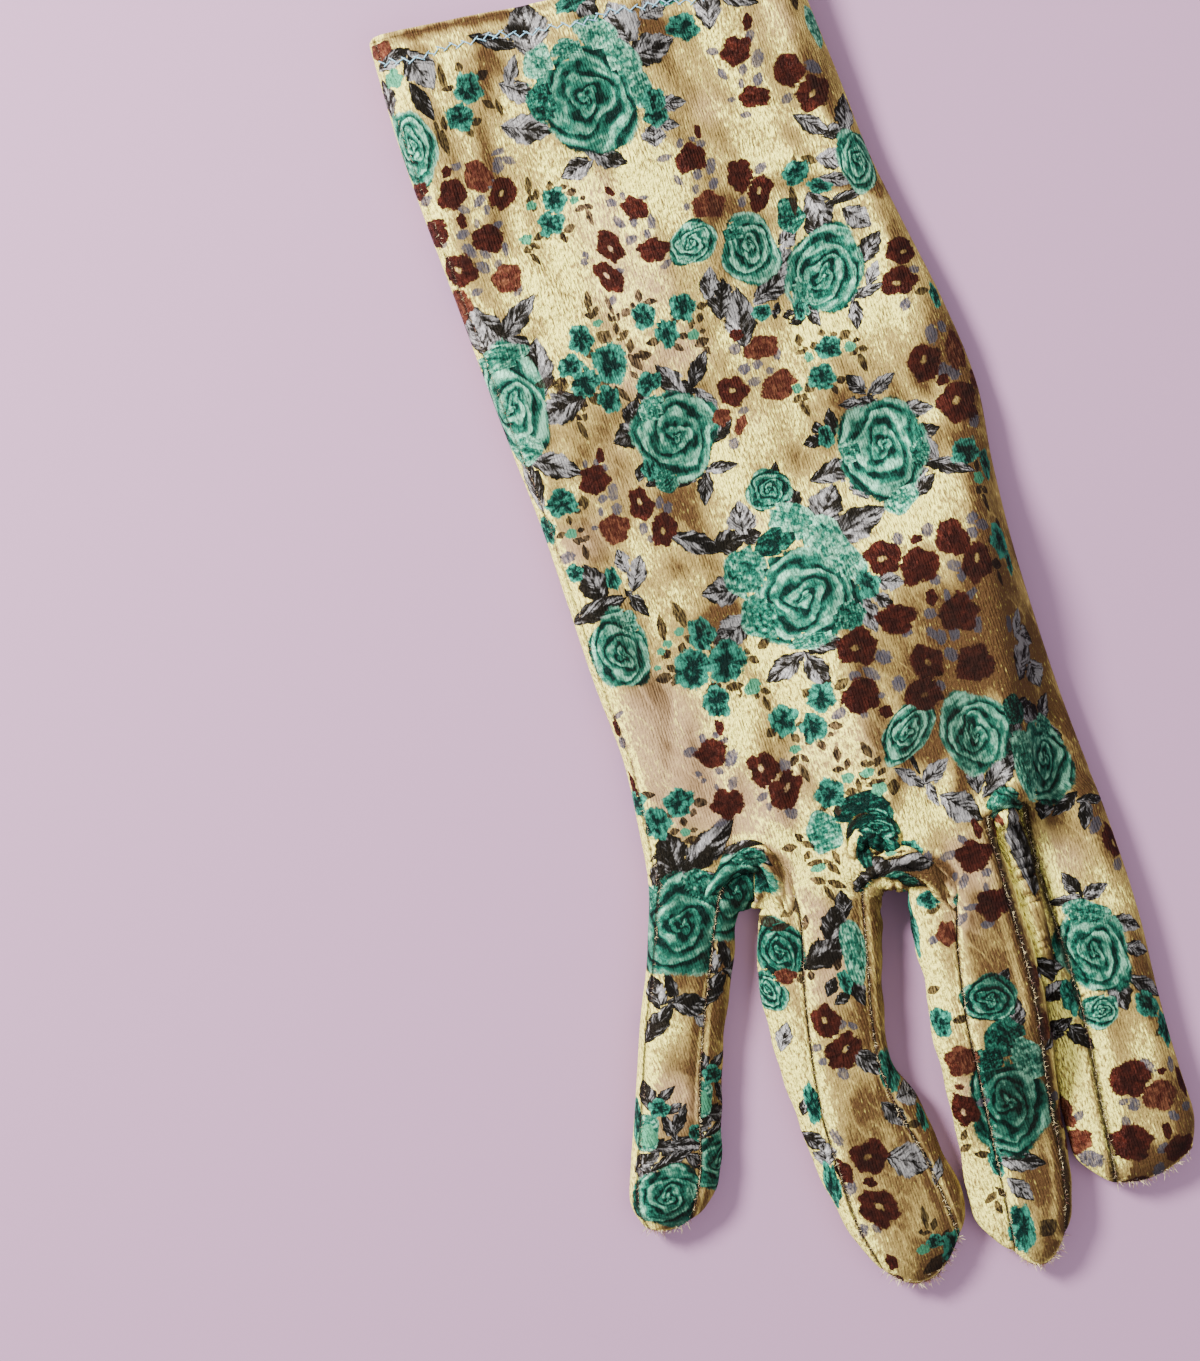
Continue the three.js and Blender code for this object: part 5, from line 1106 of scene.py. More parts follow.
def seam_height(x, y):
    """Height of the strips' upper seams where they run nearest to a place."""
    upper = np.concatenate([line for name, line in seams.items()
                            if name.endswith(("left", "right"))])
    away = np.hypot(upper[:, 0] - x.reshape(-1, 1), upper[:, 1] - y.reshape(-1, 1))
    nearest = np.argsort(away, axis=1)[:, :seam_samples]
    return upper[nearest, 2].mean(axis=1).reshape(x.shape)


def twisted_roll(path, ribbing, print_shift):
    """The slack of a strip, bunched and twisted where it turns round the crotch."""
    last = len(path["x"]) - 1
    station = last * np.linspace(0, 1, roll_rings + 1)[:, None]
    x, y = follow(path["x"], station), follow(path["y"], station)
    z = seam_height(x, y) - follow(path["sink"], station)
    centre = np.stack([x, y, z], -1)
    ahead = np.gradient(centre[:, 0], axis=0)
    flat = np.hypot(ahead[:, 0], ahead[:, 1])
    side = np.stack([ahead[:, 1] / flat, -ahead[:, 0] / flat, 0 * flat], -1)[:, None]
    angle = 2 * np.pi * np.linspace(0, 1, roll_sides + 1)[None, :]
    ribs = ribbing * (np.sin(3 * angle + 2.1 * station) + 0.4 * np.sin(7 * angle - 1.3 * station))
    radius = follow(path["radius"], station) * (1 + ribs)
    radius = radius * round_off(np.minimum(station, last - station), roll_end_round)
    out = radius[..., None] * np.cos(angle)[..., None]
    up = roll_flatness * radius[..., None] * np.sin(angle)[..., None]
    points = centre + side * out + np.array([0, 0, 1]) * up
    around = radius[..., None] * (angle - np.pi / 2)[..., None]
    return points, points[..., :2] + np.concatenate([0 * around, around], -1) + print_shift


# The sides of each roll join the seam lines, so that painted shade darkens the cloth along them, as a
# painted contact shadow under the roll.
roll_side_shade_lines = {}
for name, parts in rolls.items():
    for number, part in enumerate(parts):
        tube, _ = twisted_roll(*part)
        body = tube[cap_rings:-cap_rings]
        sides = [body[:, 0], body[:, roll_sides // 2]]
        roll_side_shade_lines[name + str(number) + " rim"] = np.concatenate(sides)
seams.update(roll_side_shade_lines)
# Width of the painted shade along each seam line, wider at the middle finger's right seam and the index
# finger's left seam.
plain_shade_width = 1.0
roll_shade_width = 2.2
seam_shade_widths = {"middle right": 2.6, "index left": 3.2, "edge": 1.3}
seam_shade_widths.update({name: roll_shade_width for name in roll_side_shade_lines})
seam_shade_width = np.concatenate([np.full(len(line), seam_shade_widths.get(name, plain_shade_width))
                             for name, line in seams.items()])
seam_points = np.concatenate(list(seams.values()))
seam_tree = KDTree(len(seam_points))
for index, point in enumerate(seam_points):
    seam_tree.insert(point, index)
seam_tree.balance()


full_lean = 0.55
lamp_x, lamp_y = -0.75, 0.55  # the window lamp's side: cloth turned towards it gets painted highlight, cloth turned away painted shade
cuff_highlight_start = 42  # towards the cuff the cloth gets more painted highlight
cuff_highlight_fade = 24
hem_shade_depth = 10


def lay_nap(piece):
    """Point values of the nap's painted highlight and shade, from the patches and from how far the cloth
    leans over.
    """
    mesh = piece.data
    count = len(mesh.vertices)
    points, normals = np.zeros(count * 3), np.zeros(count * 3)
    mesh.vertices.foreach_get("co", points)
    mesh.vertex_normals.foreach_get("vector", normals)
    points = points.reshape(-1, 3) * 1000 + glove_centre
    normals = normals.reshape(-1, 3)
    # Painted sheen: cloth that leans over steeply is painted lighter.
    steep = ease((1 - np.abs(normals[:, 2])) / full_lean)
    toward_lamp = normals[:, 0] * lamp_x + normals[:, 1] * lamp_y
    x, y = points[:, 0], points[:, 1]
    blush = patches_at(x, y, blush_patches)
    calm = 1 - 0.7 * np.clip(blush, 0, 1)
    near_cuff = ease((y - cuff_highlight_start) / cuff_highlight_fade)
    # Painted light: the patches, the painted sheen of steep cloth and more painted highlight towards the
    # cuff; the side facing the window lamp is painted lighter and the side turned away darker, less so
    # where the nap is pressed matte.
    nap_light_and_shade = patches_at(x, y, highlight_and_shade_patches) + 0.55 * steep + 0.42 * near_cuff - 0.2
    nap_light_and_shade = nap_light_and_shade + np.clip(3.2 * toward_lamp, -0.8, 0.8) * calm
    # Painted shade along the hem band, where it rolls down.
    nap_light_and_shade = nap_light_and_shade - 0.7 * ease(1 - (cuff_edge(x) - y) / hem_shade_depth)
    found = [seam_tree.find(point) for point in points]
    seam = np.array([away / seam_shade_width[index] for _, index, away in found])
    for name, values in (("nap_light_and_shade", nap_light_and_shade), ("blush", blush), ("seam", seam)):
        mark = mesh.attributes.new(name, "FLOAT", "POINT")
        mark.data.foreach_set("value", np.clip(values, -1.6, 3).astype(np.float32))


def paint(red, green, blue):
    """A colour given as it is seen on a screen, from 0 to 255."""
    shares = np.array([red, green, blue]) / 255
    linear = np.where(shares <= 0.04045, shares / 12.92, ((shares + 0.055) / 1.055) ** 2.4)
    return (*map(float, linear), 1.0)


class Wire:
    """A node's output that adds up like a number, so that a pattern reads as a formula."""

    def __init__(self, tree, socket):
        self.tree, self.socket = tree, socket

    def node(self, kind, *values, **settings):
        node = self.tree.nodes.new(kind)
        for setting, value in settings.items():
            setattr(node, setting, value)
        for socket, value in zip(node.inputs, values):
            if isinstance(value, Wire):
                self.tree.links.new(value.socket, socket)
            elif value is not None:
                socket.default_value = value
        return node

    def math(self, operation, *others):
        node = self.node("ShaderNodeMath", self, *others, operation=operation)
        return Wire(self.tree, node.outputs[0])

    def __add__(self, other):
        return self.math("ADD", other)

    def __sub__(self, other):
        return self.math("SUBTRACT", other)

    def __mul__(self, other):
        return self.math("MULTIPLY", other)

    def __truediv__(self, other):
        return self.math("DIVIDE", other)

    def inverse(self):
        return self.math("MULTIPLY_ADD", -1, 1)

    def smooth(self, low, high):
        node = self.node("ShaderNodeMapRange", self, low, high, 0, 1,
                         interpolation_type="SMOOTHSTEP")
        return Wire(self.tree, node.outputs[0])

    def noise(self, other, third=0.0, detail=2.0):
        place = self.node("ShaderNodeCombineXYZ", self, other, third).outputs[0]
        node = self.node("ShaderNodeTexNoise", Wire(self.tree, place), None, 1.0, detail)
        return Wire(self.tree, node.outputs[0]) - 0.5

    def blend(self, first, second):
        node = self.node("ShaderNodeMix", self, data_type="RGBA")
        for socket, value in ((node.inputs[6], first), (node.inputs[7], second)):
            if isinstance(value, Wire):
                self.tree.links.new(value.socket, socket)
            else:
                socket.default_value = value
        return Wire(self.tree, node.outputs[2])

    def scaled(self, factor):
        node = self.node("ShaderNodeVectorMath", self, None, None, factor, operation="SCALE")
        return Wire(self.tree, node.outputs[0])


def map_of(tree, name):
    source = tree.nodes.new("ShaderNodeUVMap")
    source.uv_map = name
    split = tree.nodes.new("ShaderNodeSeparateXYZ")
    tree.links.new(source.outputs[0], split.inputs[0])
    return Wire(tree, split.outputs[0]), Wire(tree, split.outputs[1])


def mark_of(tree, name):
    source = tree.nodes.new("ShaderNodeAttribute")
    source.attribute_name = name
    return Wire(tree, source.outputs["Fac"])


def pointed(along, beside, slack):
    """How far out a place lies in a shape that is pointed at both ends; 1 is its rim."""
    body = (along * along).inverse() * (along.math("ABSOLUTE") * 0.3).inverse() * 1.08
    body = body.math("MAXIMUM", 0.03)
    out = (beside.math("ABSOLUTE") / body).math("MAXIMUM", along.math("ABSOLUTE") * 1.05)
    return out + slack, beside / body


def draw_leaf(tree, colour, pile, fuzz):
    along, beside = map_of(tree, "leaf")
    tone, seed = mark_of(tree, "leaf_tone"), mark_of(tree, "leaf_seed")
    rim, across = pointed(along, beside + fuzz * 0.3, pile * 0.3)
    half = across.math("ABSOLUTE")
    teeth = (along * 15 - half * 4).math("SINE") * 0.07
    mask = (rim + teeth).smooth(0.94, 1.08).inverse()
    veins = (along * 7 - half * 4.5).noise(across * 1.1, seed * 40, 2)
    patches = (along * 1.7).noise(across * 1.3, seed * 23, 2)
    rib = half.smooth(0.0, 0.14).inverse()
    turned_up = (across * (seed - 0.5)).math("GREATER_THAN", 0.0) * 0.22
    base = (along * (seed * 7.7).math("SINE")).smooth(0.1, 1.0)
    light = veins * 2.6 + patches * 2.4 + tone * 0.66 + turned_up - rib * 0.45 - base * 0.4
    light = (light + pile * 0.9 + 0.04 - rim.smooth(0.7, 1.0) * 0.2).smooth(0.0, 1.05)
    grey = (light * light).blend(paint(4, 4, 6), paint(160, 157, 156))
    return (mask * 0.99).blend(colour, grey), mask


def draw_sprinkles(tree, colour, pile, fuzz):
    along, beside = map_of(tree, "sprinkle")
    is_sprig = mark_of(tree, "sprinkle_tone").math("GREATER_THAN", 0.5)
    seed = mark_of(tree, "sprinkle_seed")
    sharp, _ = pointed(along, beside, fuzz * 0.6)
    blunt = (along * along + beside * beside).math("SQRT") + fuzz * 1.0
    rim = blunt * is_sprig.inverse() + sharp * is_sprig
    mask = rim.smooth(0.8, 1.06).inverse()
    ink = is_sprig.blend(paint(84, 80, 88), paint(34, 22, 13))
    strength = mask * (pile * 0.9 + seed * 0.1 + 0.86)
    return strength.blend(colour, ink), mask


def draw_blossom(tree, colour, pile, fuzz):
    along, beside = map_of(tree, "blossom")
    kind, seed = mark_of(tree, "blossom_tone"), mark_of(tree, "blossom_seed")
    out = (along * along + beside * beside).math("SQRT")
    turn = beside.math("ARCTAN2", along)
    lobes = (turn * 5 + seed * 6.3).math("SINE") * 0.07 + (turn * 3 + seed * 17).math("SINE") * 0.05
    ragged = (along * 1.9).noise(beside * 1.9, seed * 50, 2)
    rim = out + lobes + fuzz * 0.36 + pile * 0.2 + ragged * 0.5
    mask = rim.smooth(0.9, 1.02).inverse()
    wrinkle = (along * 2.4).noise(beside * 2.4, seed * 30, 3)
    rays = (turn.math("COSINE") * 5).noise(turn.math("SINE") * 5, out * 1.3 + seed * 9, 2)
    red = (wrinkle * 1.6 + rays * 0.8 + out * 0.25).smooth(-0.15, 0.6)
    red = red.blend(paint(40, 12, 9), paint(72, 28, 19))
    dusty = (pile * 1.6 + wrinkle * 1.6).smooth(-0.1, 0.35)
    dusty = dusty.blend(paint(72, 32, 22), paint(122, 74, 50))
    red = (kind.math("COMPARE", float(mottled), 0.2) * 0.8).blend(red, dusty)
    heart_x = along - (seed * 6.3).math("SINE") * 0.16
    heart_y = (beside + (seed * 11).math("SINE") * 0.1) * 1.35
    heart = (heart_x * heart_x + heart_y * heart_y).math("SQRT") + fuzz * 0.35
    hole = heart.smooth(0.12, 0.26).inverse() * kind.math("COMPARE", float(ringed), 0.2)
    red = (hole * 0.8).blend(red, colour)
    green = (out * 0.75 + rays * 0.9 + wrinkle * 2.3 + pile * 0.9 - 0.05).smooth(0.05, 1.1)
    green = green.blend(paint(0, 26, 23), paint(58, 152, 126))
    green = kind.math("GREATER_THAN", pale - 0.5).blend(green, paint(70, 142, 106))
    ink = kind.math("GREATER_THAN", teal - 0.5).blend(red, green)
    return mask.blend(colour, ink), mask


def draw_rose(tree, colour, pile, fuzz):
    """Petals overlap round an off-centre heart; each one is light along its rim."""
    along, beside = map_of(tree, "rose")
    tone, seed = mark_of(tree, "rose_tone"), mark_of(tree, "rose_seed")
    is_petal = tone.math("GREATER_THAN", 1.5)
    lightness = tone - is_petal * petal_mark
    out = (along * along + beside * beside).math("SQRT")
    turn = beside.math("ARCTAN2", along)
    lobes = (turn * 5 + seed * 6.3).math("SINE") * 0.05 + (turn * 3 + seed * 15).math("SINE") * 0.06
    rim = out + lobes + fuzz * 0.14 + pile * 0.1
    mask = rim.smooth(0.94, 1.02).inverse()
    bend_x = along + (along * 1.5).noise(beside * 1.5, seed * 20, 2) * 0.4
    bend_y = beside + (along * 1.5).noise(beside * 1.5, seed * 20 + 7, 2) * 0.4
    bend_x = bend_x - (seed * 6.3).math("SINE") * 0.14
    heart = (bend_x * bend_x + bend_y * bend_y).math("SQRT")
    spin = bend_y.math("ARCTAN2", bend_x)
    scallop = (spin * 3 + heart * 8 + seed * 12).math("SINE") * 0.22
    coil = (heart.math("POWER", 0.75) * 3.9 + spin / (2 * math.pi) + scallop + seed)
    coil = coil.math("FRACT")
    strokes = (along * 5).noise(beside * 5, seed * 11, 3)
    around_x, around_y = spin.math("COSINE"), spin.math("SINE")
    arcs = (around_x * 1.6).noise(around_y * 1.6, heart * 8 + seed * 9, 2)
    veins = (along * 6).noise(beside * 1.6, seed * 9, 2)
    fold = coil.smooth(0.0, 0.62) * coil.smooth(0.8, 1.0).inverse()
    depth = fold * 0.72 + strokes * 1.5 + arcs * 1.5 + (lightness - 0.5) * 0.5
    depth = depth + out * 0.16 - 0.08
    open_petal = out * 0.3 + strokes * 2.0 + veins * 1.5 + lightness * 0.95 - 0.34
    value = depth * is_petal.inverse() + open_petal * is_petal + pile * 0.8
    dark = value.smooth(-0.1, 0.55).blend(paint(0, 26, 22), paint(24, 96, 77))
    light = value.smooth(0.22, 1.2)
    green = (light * light).blend(dark, paint(144, 208, 172))
    return mask.blend(colour, green), mask


def add_bump(tree, shader, height, strength, distance):
    bump = tree.nodes.new("ShaderNodeBump")
    bump.inputs["Strength"].default_value = strength
    bump.inputs["Distance"].default_value = distance
    tree.links.new(height.socket, bump.inputs["Height"])
    tree.links.new(bump.outputs[0], shader.inputs["Normal"])


def velvet_material(name):
    """Printed velvet: the nap's painted highlight and shade decide the ground's colour, the print's
    layers lie on it, and painted glints, painted shade on the print and painted shade in the seams go
    over all.
    """
    material, tree, shader = new_material(name)
    across, along = map_of(tree, "cloth")
    across, along = across * print_unit, along * print_unit
    pile = (across * 2.9).noise(along * 0.62, 0.0, 2)
    fuzz = (across * 1.5).noise(along * 1.5, 5.0, 3)
    cloud = (across * 0.18 + along * 0.03).noise(along * 0.075, 9.0, 3)
    crush = (across * 2.5).noise(along * 0.9, 3.0, 2)
    ribs = (across * 11.4 + fuzz * 2).math("SINE")
    vein = (across * 0.21 + along * 0.05).noise(along * 0.09, 14.0, 1).math("ABSOLUTE")
    seam = mark_of(tree, "seam")
    # The seam's groove: a dent in the bump, and painted shade in the seam and along the rolls' sides.
    groove = (seam + fuzz * 0.3).smooth(0.05, 0.42).inverse()
    # Painted highlight on the lip beside each seam and along thin crease lines.
    seam_lip_highlight = (seam - 0.9).math("ABSOLUTE").smooth(0.0, 0.6).inverse()
    crease_highlight = vein.smooth(0.0, 0.05).inverse()
    nap_light_and_shade = mark_of(tree, "nap_light_and_shade") * 1.3 + cloud * 1.9 + crease_highlight * 0.3 + seam_lip_highlight * 0.8
    blush = mark_of(tree, "blush") + cloud * 0.8
    grain = nap_light_and_shade.smooth(-0.4, 1.1) * 0.75 + blush.smooth(0.0, 0.8) * -0.2 + 0.4
    ground = blush.smooth(0.1, 0.9).blend(paint(193, 165, 94), paint(208, 170, 124))
    # Painted shade: where the nap turns away, the ground is painted brown.
    away = (nap_light_and_shade * -1 + (pile * 2.4 + crush + ribs * 0.12) * grain).smooth(-0.05, 1.08)
    ground = away.blend(ground, paint(94, 66, 38))
    colour = ground
    printed = None
    for draw in (draw_leaf, draw_rose, draw_sprinkles, draw_blossom):
        colour, mask = draw(tree, colour, pile, fuzz)
        printed = mask if printed is None else printed.math("MAXIMUM", mask)
    # Painted highlight: glints where the nap is lit, over ground and print alike; the rest is darkened so
    # that they stand out.
    lit = nap_light_and_shade.smooth(-0.5, 1.5) * 1.05
    glint = ((crush * 3.0 - pile * 3.2) * grain + lit - 0.16).smooth(-0.05, 1.08)
    colour = colour.scaled(0.485)
    bright = printed.blend(paint(255, 243, 122), colour.scaled(2.5))
    colour = (glint * 0.96).blend(colour, bright)
    # Painted shade on the print where the nap turns away.
    shade = (nap_light_and_shade * -1 + pile).smooth(0.3, 1.3) * printed * 0.4
    colour = shade.blend(colour, paint(16, 12, 9))
    # Painted shade in the seams' grooves and along the rolls' sides.
    colour = (groove * 0.9).blend(colour, paint(16, 11, 7))
    tree.links.new(colour.socket, shader.inputs["Base Color"])
    tree.links.new((glint * -0.42 + 0.88).socket, shader.inputs["Roughness"])
    shader.inputs["Specular IOR Level"].default_value = 0.09
    shader.inputs["Specular Tint"].default_value = (1.0, 0.95, 0.84, 1.0)
    height = (pile + fuzz * 0.6 + crush) * (grain + 0.2) + ribs * 0.08 - groove * 0.8
    add_bump(tree, shader, height, 1.0, 0.0006)
    return material


def backing_material(name):
    """The velvet's knitted back, which shows only inside the cuff."""
    material, tree, shader = new_material(name)
    across, along = map_of(tree, "cloth")
    loops = (across * print_unit * 5.2).math("SINE") * (along * print_unit * 4.2).math("SINE")
    shade = (across * 60).noise(along * 60, 1.0, 3) + loops * 0.2
    colour = shade.smooth(-0.4, 0.4).blend(paint(163, 139, 104), paint(191, 171, 135))
    tree.links.new(colour.socket, shader.inputs["Base Color"])
    shader.inputs["Roughness"].default_value = 0.95
    add_bump(tree, shader, loops, 0.5, 0.0002)
    return material


velvet = velvet_material("printed velvet")
backing = backing_material("knitted backing")


def finish_cloth(piece, face_places, *nodes):
    """Print, nap with its painted highlight and shade, and thickness of a piece of cloth; hides the
    model's parts that it stands for.
    """
    print_on(piece, face_places)
    lay_nap(piece)
    piece.data.materials.append(velvet)
    piece.data.materials.append(backing)
    give_thickness(piece)
    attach(piece, "root")
    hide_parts(*nodes)


strips = []
for is_palm in (False, True):
    for name in fingers:
        quads, places = grid_quads(*strip_grid(name, is_palm), flip=is_palm)
        kept = outside_mouth(quads) if is_palm else np.full(len(quads), True)
        strips.append((quads[kept], places[kept]))
trank_quads = np.concatenate([quads for quads, _ in strips])
trank_places = np.concatenate([places for _, places in strips])
finish_cloth(*sewn_mesh("trank", trank_quads, trank_places), "back", "palm")


# Fourchettes
# Three narrow strips of the same velvet that give the fingers their sides. Each one starts at a
# fingertip, runs to the crotch, folds over there with a few gathers and runs out to the next tip.
fourchette_cells = 16
least_width = 0.2  # a narrower strip follows its finger's direction
least_depth = 0.02
gather_reach = 8  # the gathers fade over this distance from the crotch
gather_depth = 0.12
gather_limit = 6
slack_depth = 0.22


def fourchette_points(slot):
    """A side strip from one fingertip round the crotch to the next, and its place on the cloth."""
    turn = np.pi * (np.arange(fourchette_cells + 1) / fourchette_cells)[None, :]
    rows, places = [], []
    for finger, order in (("left", range(finger_rows, -1, -1)),
                          ("right", range(1, finger_rows + 1))):
        name = slot[finger]
        side, end = (1, "right") if finger == "left" else (-1, "left")
        stations = finger_stations(name)[list(order)][:, None]
        share = np.full((1, 1), 1.0 if finger == "left" else 0.0)
        seam_x, seam_y, fold_x, fold_y = side_fold(slot, name, stations)
        out = np.hypot(fold_x - seam_x, fold_y - seam_y)
        lean = finger_lean[name]
        plain = np.stack([np.full_like(out, side * math.cos(lean)),
                          np.full_like(out, -side * math.sin(lean))], -1)
        real = np.stack([fold_x - seam_x, fold_y - seam_y], -1) / np.maximum(out, 1e-6)[..., None]
        way = np.where(out[..., None] > least_width, real, plain)
        high = soften(finger_points(name, share, stations, False), False)[..., 2]
        low = finger_points(name, share, stations, True)[..., 2]
        middle, half = (high + low) / 2, (high - low) / 2
        inner = np.where(turn < np.pi / 2, 0, palm_seam_share * out)
        depth = np.maximum(out - wall / 2 - inner, least_depth)
        start = finger_section(name, np.zeros(1))
        from_crotch = np.hypot(seam_x - start[end + "_x"], seam_y - start[end + "_y"])
        gather = np.exp(-(from_crotch / gather_reach) ** 2) * np.sin(turn * 6 + from_crotch * 0.8)
        gather = gather * np.sin(turn) * min(slot["reach"], gather_limit) * gather_depth
        reach = inner + depth * np.sin(turn) + gather
        slack = slack_depth * np.sin(stations * 5.1 + side) * np.sin(stations * 1.7) * np.sin(turn)
        x = seam_x + (reach + slack) * way[..., 0]
        y = seam_y + (reach + slack) * way[..., 1]
        z = np.broadcast_to(middle + half * np.cos(turn), x.shape)
        points = np.stack([x, y, z], -1)
        steps = np.linalg.norm(np.diff(points, axis=1), axis=-1, keepdims=True)
        run = np.concatenate([0 * steps[:, :1], np.cumsum(steps, axis=1)], axis=1)
        rows.append(points)
        place = np.concatenate([seam_x[..., None], seam_y[..., None]], -1) + run * way
        places.append(place + (slot["left_print"] if finger == "left" else (0, 0)))
    return np.concatenate(rows), np.concatenate(places)


def strip_place(points, start):
    """Flat place of a narrow strip on the cloth: true length along it and across it."""
    along = np.linalg.norm(np.diff(points[:, 0], axis=0), axis=-1)
    across = np.linalg.norm(np.diff(points, axis=1), axis=-1).mean(axis=0)
    s = np.concatenate([[0], np.cumsum(across)])[None, :]
    t = np.concatenate([[0], np.cumsum(along)])[:, None]
    return np.stack(np.broadcast_arrays(start[0] + s, start[1] - t), -1)


for name, slot in slots.items():
    points, place = fourchette_points(slot)
    parts = [grid_quads(points, place, flip=True)]
    parts += [grid_quads(*twisted_roll(*part)) for part in rolls[name]]
    quads, places = (np.concatenate(kind) for kind in zip(*parts))
    strip_name = name.replace("fourchette", "side_strip")
    finish_cloth(*sewn_mesh(strip_name, quads, places), name)


# Thumb
# A pouch of the same velvet, sewn round its open end into the oval hole of the palm. It lies
# flat beneath the palm, and its roof closes at the front of the hole.
thumb_print = (150, 60)
roof_start = -9  # the roof closes from here on
roof_fade = 14
thumb_bend = 0.7
thumb_tip_round = 9
thumb_rows = 110
thumb_around = 56
thumb_crowding = 1.5


def thumb_points():
    """The pouch, ring by ring from the rear of the hole to its tip."""
    last = len(thumb_line["y"]) - 1
    station = last * (1 - (1 - np.linspace(0, 1, thumb_rows + 1)) ** thumb_crowding)[:, None]
    axis_x, axis_y = follow(thumb_line["x"], station), follow(thumb_line["y"], station)
    tip = round_off(axis_y - thumb_line["y"][-1], thumb_tip_round)
    body = (follow(thumb_line["half"], station) - wall / 2) * tip
    rim = np.minimum(mouth_half(axis_y, -wall / 2), body)
    raised = thumb_rise(axis_x + body, axis_y, lift_spread) + wall / 2
    rim_z = np.minimum(raised, thumb_puff - wall / 2)
    closing = ease((roof_start - axis_y) / roof_fade)
    middle = mix(rim_z, thumb_puff / 2, closing)
    roof = np.maximum(rim_z - middle, 0)
    floor = middle - wall / 2
    rim_share = np.clip(rim / np.maximum(body, wall), 0, 1)
    rim_angle = np.where(closing > 0, np.arccos(rim_share ** (1 / thumb_bend)), 0)
    turn = (2 * np.arange(thumb_around + 1) / thumb_around - 1)[None, :]
    angle = mix(-np.pi / 2, rim_angle, np.abs(turn))
    side = np.sign(turn) * body * np.abs(np.cos(angle)) ** thumb_bend
    lift = np.sign(angle) * np.abs(np.sin(angle)) ** thumb_bend
    z = middle + lift * np.where(lift < 0, floor, roof) * tip
    crease = 0.35 * np.sin(axis_y * 0.33) * np.sin(axis_y * 0.11) * np.maximum(0, -lift)
    y = np.broadcast_to(axis_y, z.shape)
    return np.stack([axis_x + side, y, z + crease * tip], -1)


thumb_sheet = thumb_points()
thumb_cloth = strip_place(thumb_sheet, thumb_print)
thumb_quads = grid_quads(thumb_sheet, thumb_cloth, flip=True)
finish_cloth(*sewn_mesh("thumb_pouch", *thumb_quads), "thumb")


# Cuff hem
# The last five millimetres of the cuff's own velvet, turned in all round and held with a
# zigzag of pale blue thread. Its edge is a soft roll, and bulges a little past the cuff.
hem_depth = 5.0
hem_around = 120
hem_rows = 16
roll_share = 0.35  # share of the hem in the roll at its edge
roll_bulge = 0.75
hem_gap = 0.1
hem_crowding = 0.7
hem_hold = 6


def hem_points():
    turn = np.arange(2 * hem_around + 1) / hem_around
    is_back = turn <= 1
    even = np.where(is_back, turn, 2 - turn)
    share = mix(even, 0.5 - 0.5 * np.cos(np.pi * even), hem_crowding)[None, :]
    fold = np.linspace(0, 1, hem_rows + 1)[:, None]
    bend = np.clip(fold / roll_share, 0, 1)
    run = np.clip((fold - roll_share) / (1 - roll_share), 0, 1)
    inset = (wall + hem_gap) * 0.5 * (1 - np.cos(np.pi * bend))
    out = roll_bulge * np.sin(np.pi * bend) - hem_depth * run
    edge_y = cuff_edge(mix(hand["ulnar"][0], hand["radial"][0], share))
    y = edge_y + out
    left = hand_edge("ulnar", y) + wall / 2 + inset
    right = hand_edge("radial", y) - wall / 2 - inset
    x = mix(left, right, share)
    low, high = hand_layers(x, y)
    middle = (low + high) / 2
    edge = round_off(np.minimum(x - left, right - x), hand_round - inset)
    rise = ((high - low) / 2 - inset) * edge
    free = ease(np.minimum(x - left, right - x) / hem_hold)
    slack = (crumple(x, y) + folds_at(x, y, creases) + hem_curl(x, y)) * free
    z = np.where(is_back[None, :], middle + rise + slack, middle - rise)
    points = np.stack(np.broadcast_arrays(x, y, z), -1)
    steps = np.linalg.norm(np.diff(points, axis=0), axis=-1)
    run = np.concatenate([0 * steps[:1], np.cumsum(steps, axis=0)])
    mirrored = 2 * (right + fold_room) - x
    place = np.stack([np.where(is_back[None, :], x, mirrored), edge_y + run], -1)
    return points, place


hem_quads = grid_quads(*hem_points(), flip=True)
finish_cloth(*sewn_mesh("turned_in_hem", *hem_quads), "cuff_hem")


# Hem stitches
# A zigzag of pale blue thread that holds the turned-in hem. It shows along the back as short
# stitches, each one slanting the other way from the last.
stitch_pitch = 1.25
stitch_length = 2.6
stitch_slant = 34
stitch_inset = 4.6
stitch_margin = 0.02
stitch_line_points = 200
thread_radius = 0.13
thread_dip = 0.2  # a stitch's ends go this deep
thread_arch = 0.5
thread_rise = 0.6  # the thread's middle is this many radii above the cloth


def new_tree(name, **sizes):
    """An empty Geometry Nodes tree with a named input for each of its sizes."""
    tree = bpy.data.node_groups.new(name, "GeometryNodeTree")
    tree.interface.new_socket("Geometry", in_out="INPUT", socket_type="NodeSocketGeometry")
    tree.interface.new_socket("Geometry", in_out="OUTPUT", socket_type="NodeSocketGeometry")
    for size, value in sizes.items():
        kind = "NodeSocketInt" if isinstance(value, int) else "NodeSocketFloat"
        tree.interface.new_socket(size, in_out="INPUT", socket_type=kind)
    return tree


def add_node(tree, kind, inputs=(), **settings):
    node = tree.nodes.new(kind)
    for setting, value in settings.items():
        setattr(node, setting, value)
    for socket, value in dict(inputs).items():
        if isinstance(value, bpy.types.NodeSocket):
            tree.links.new(value, node.inputs[socket])
        else:
            node.inputs[socket].default_value = value
    return node


def add_math(tree, operation, *values):
    node = add_node(tree, "ShaderNodeMath", enumerate(values), operation=operation)
    return node.outputs[0]


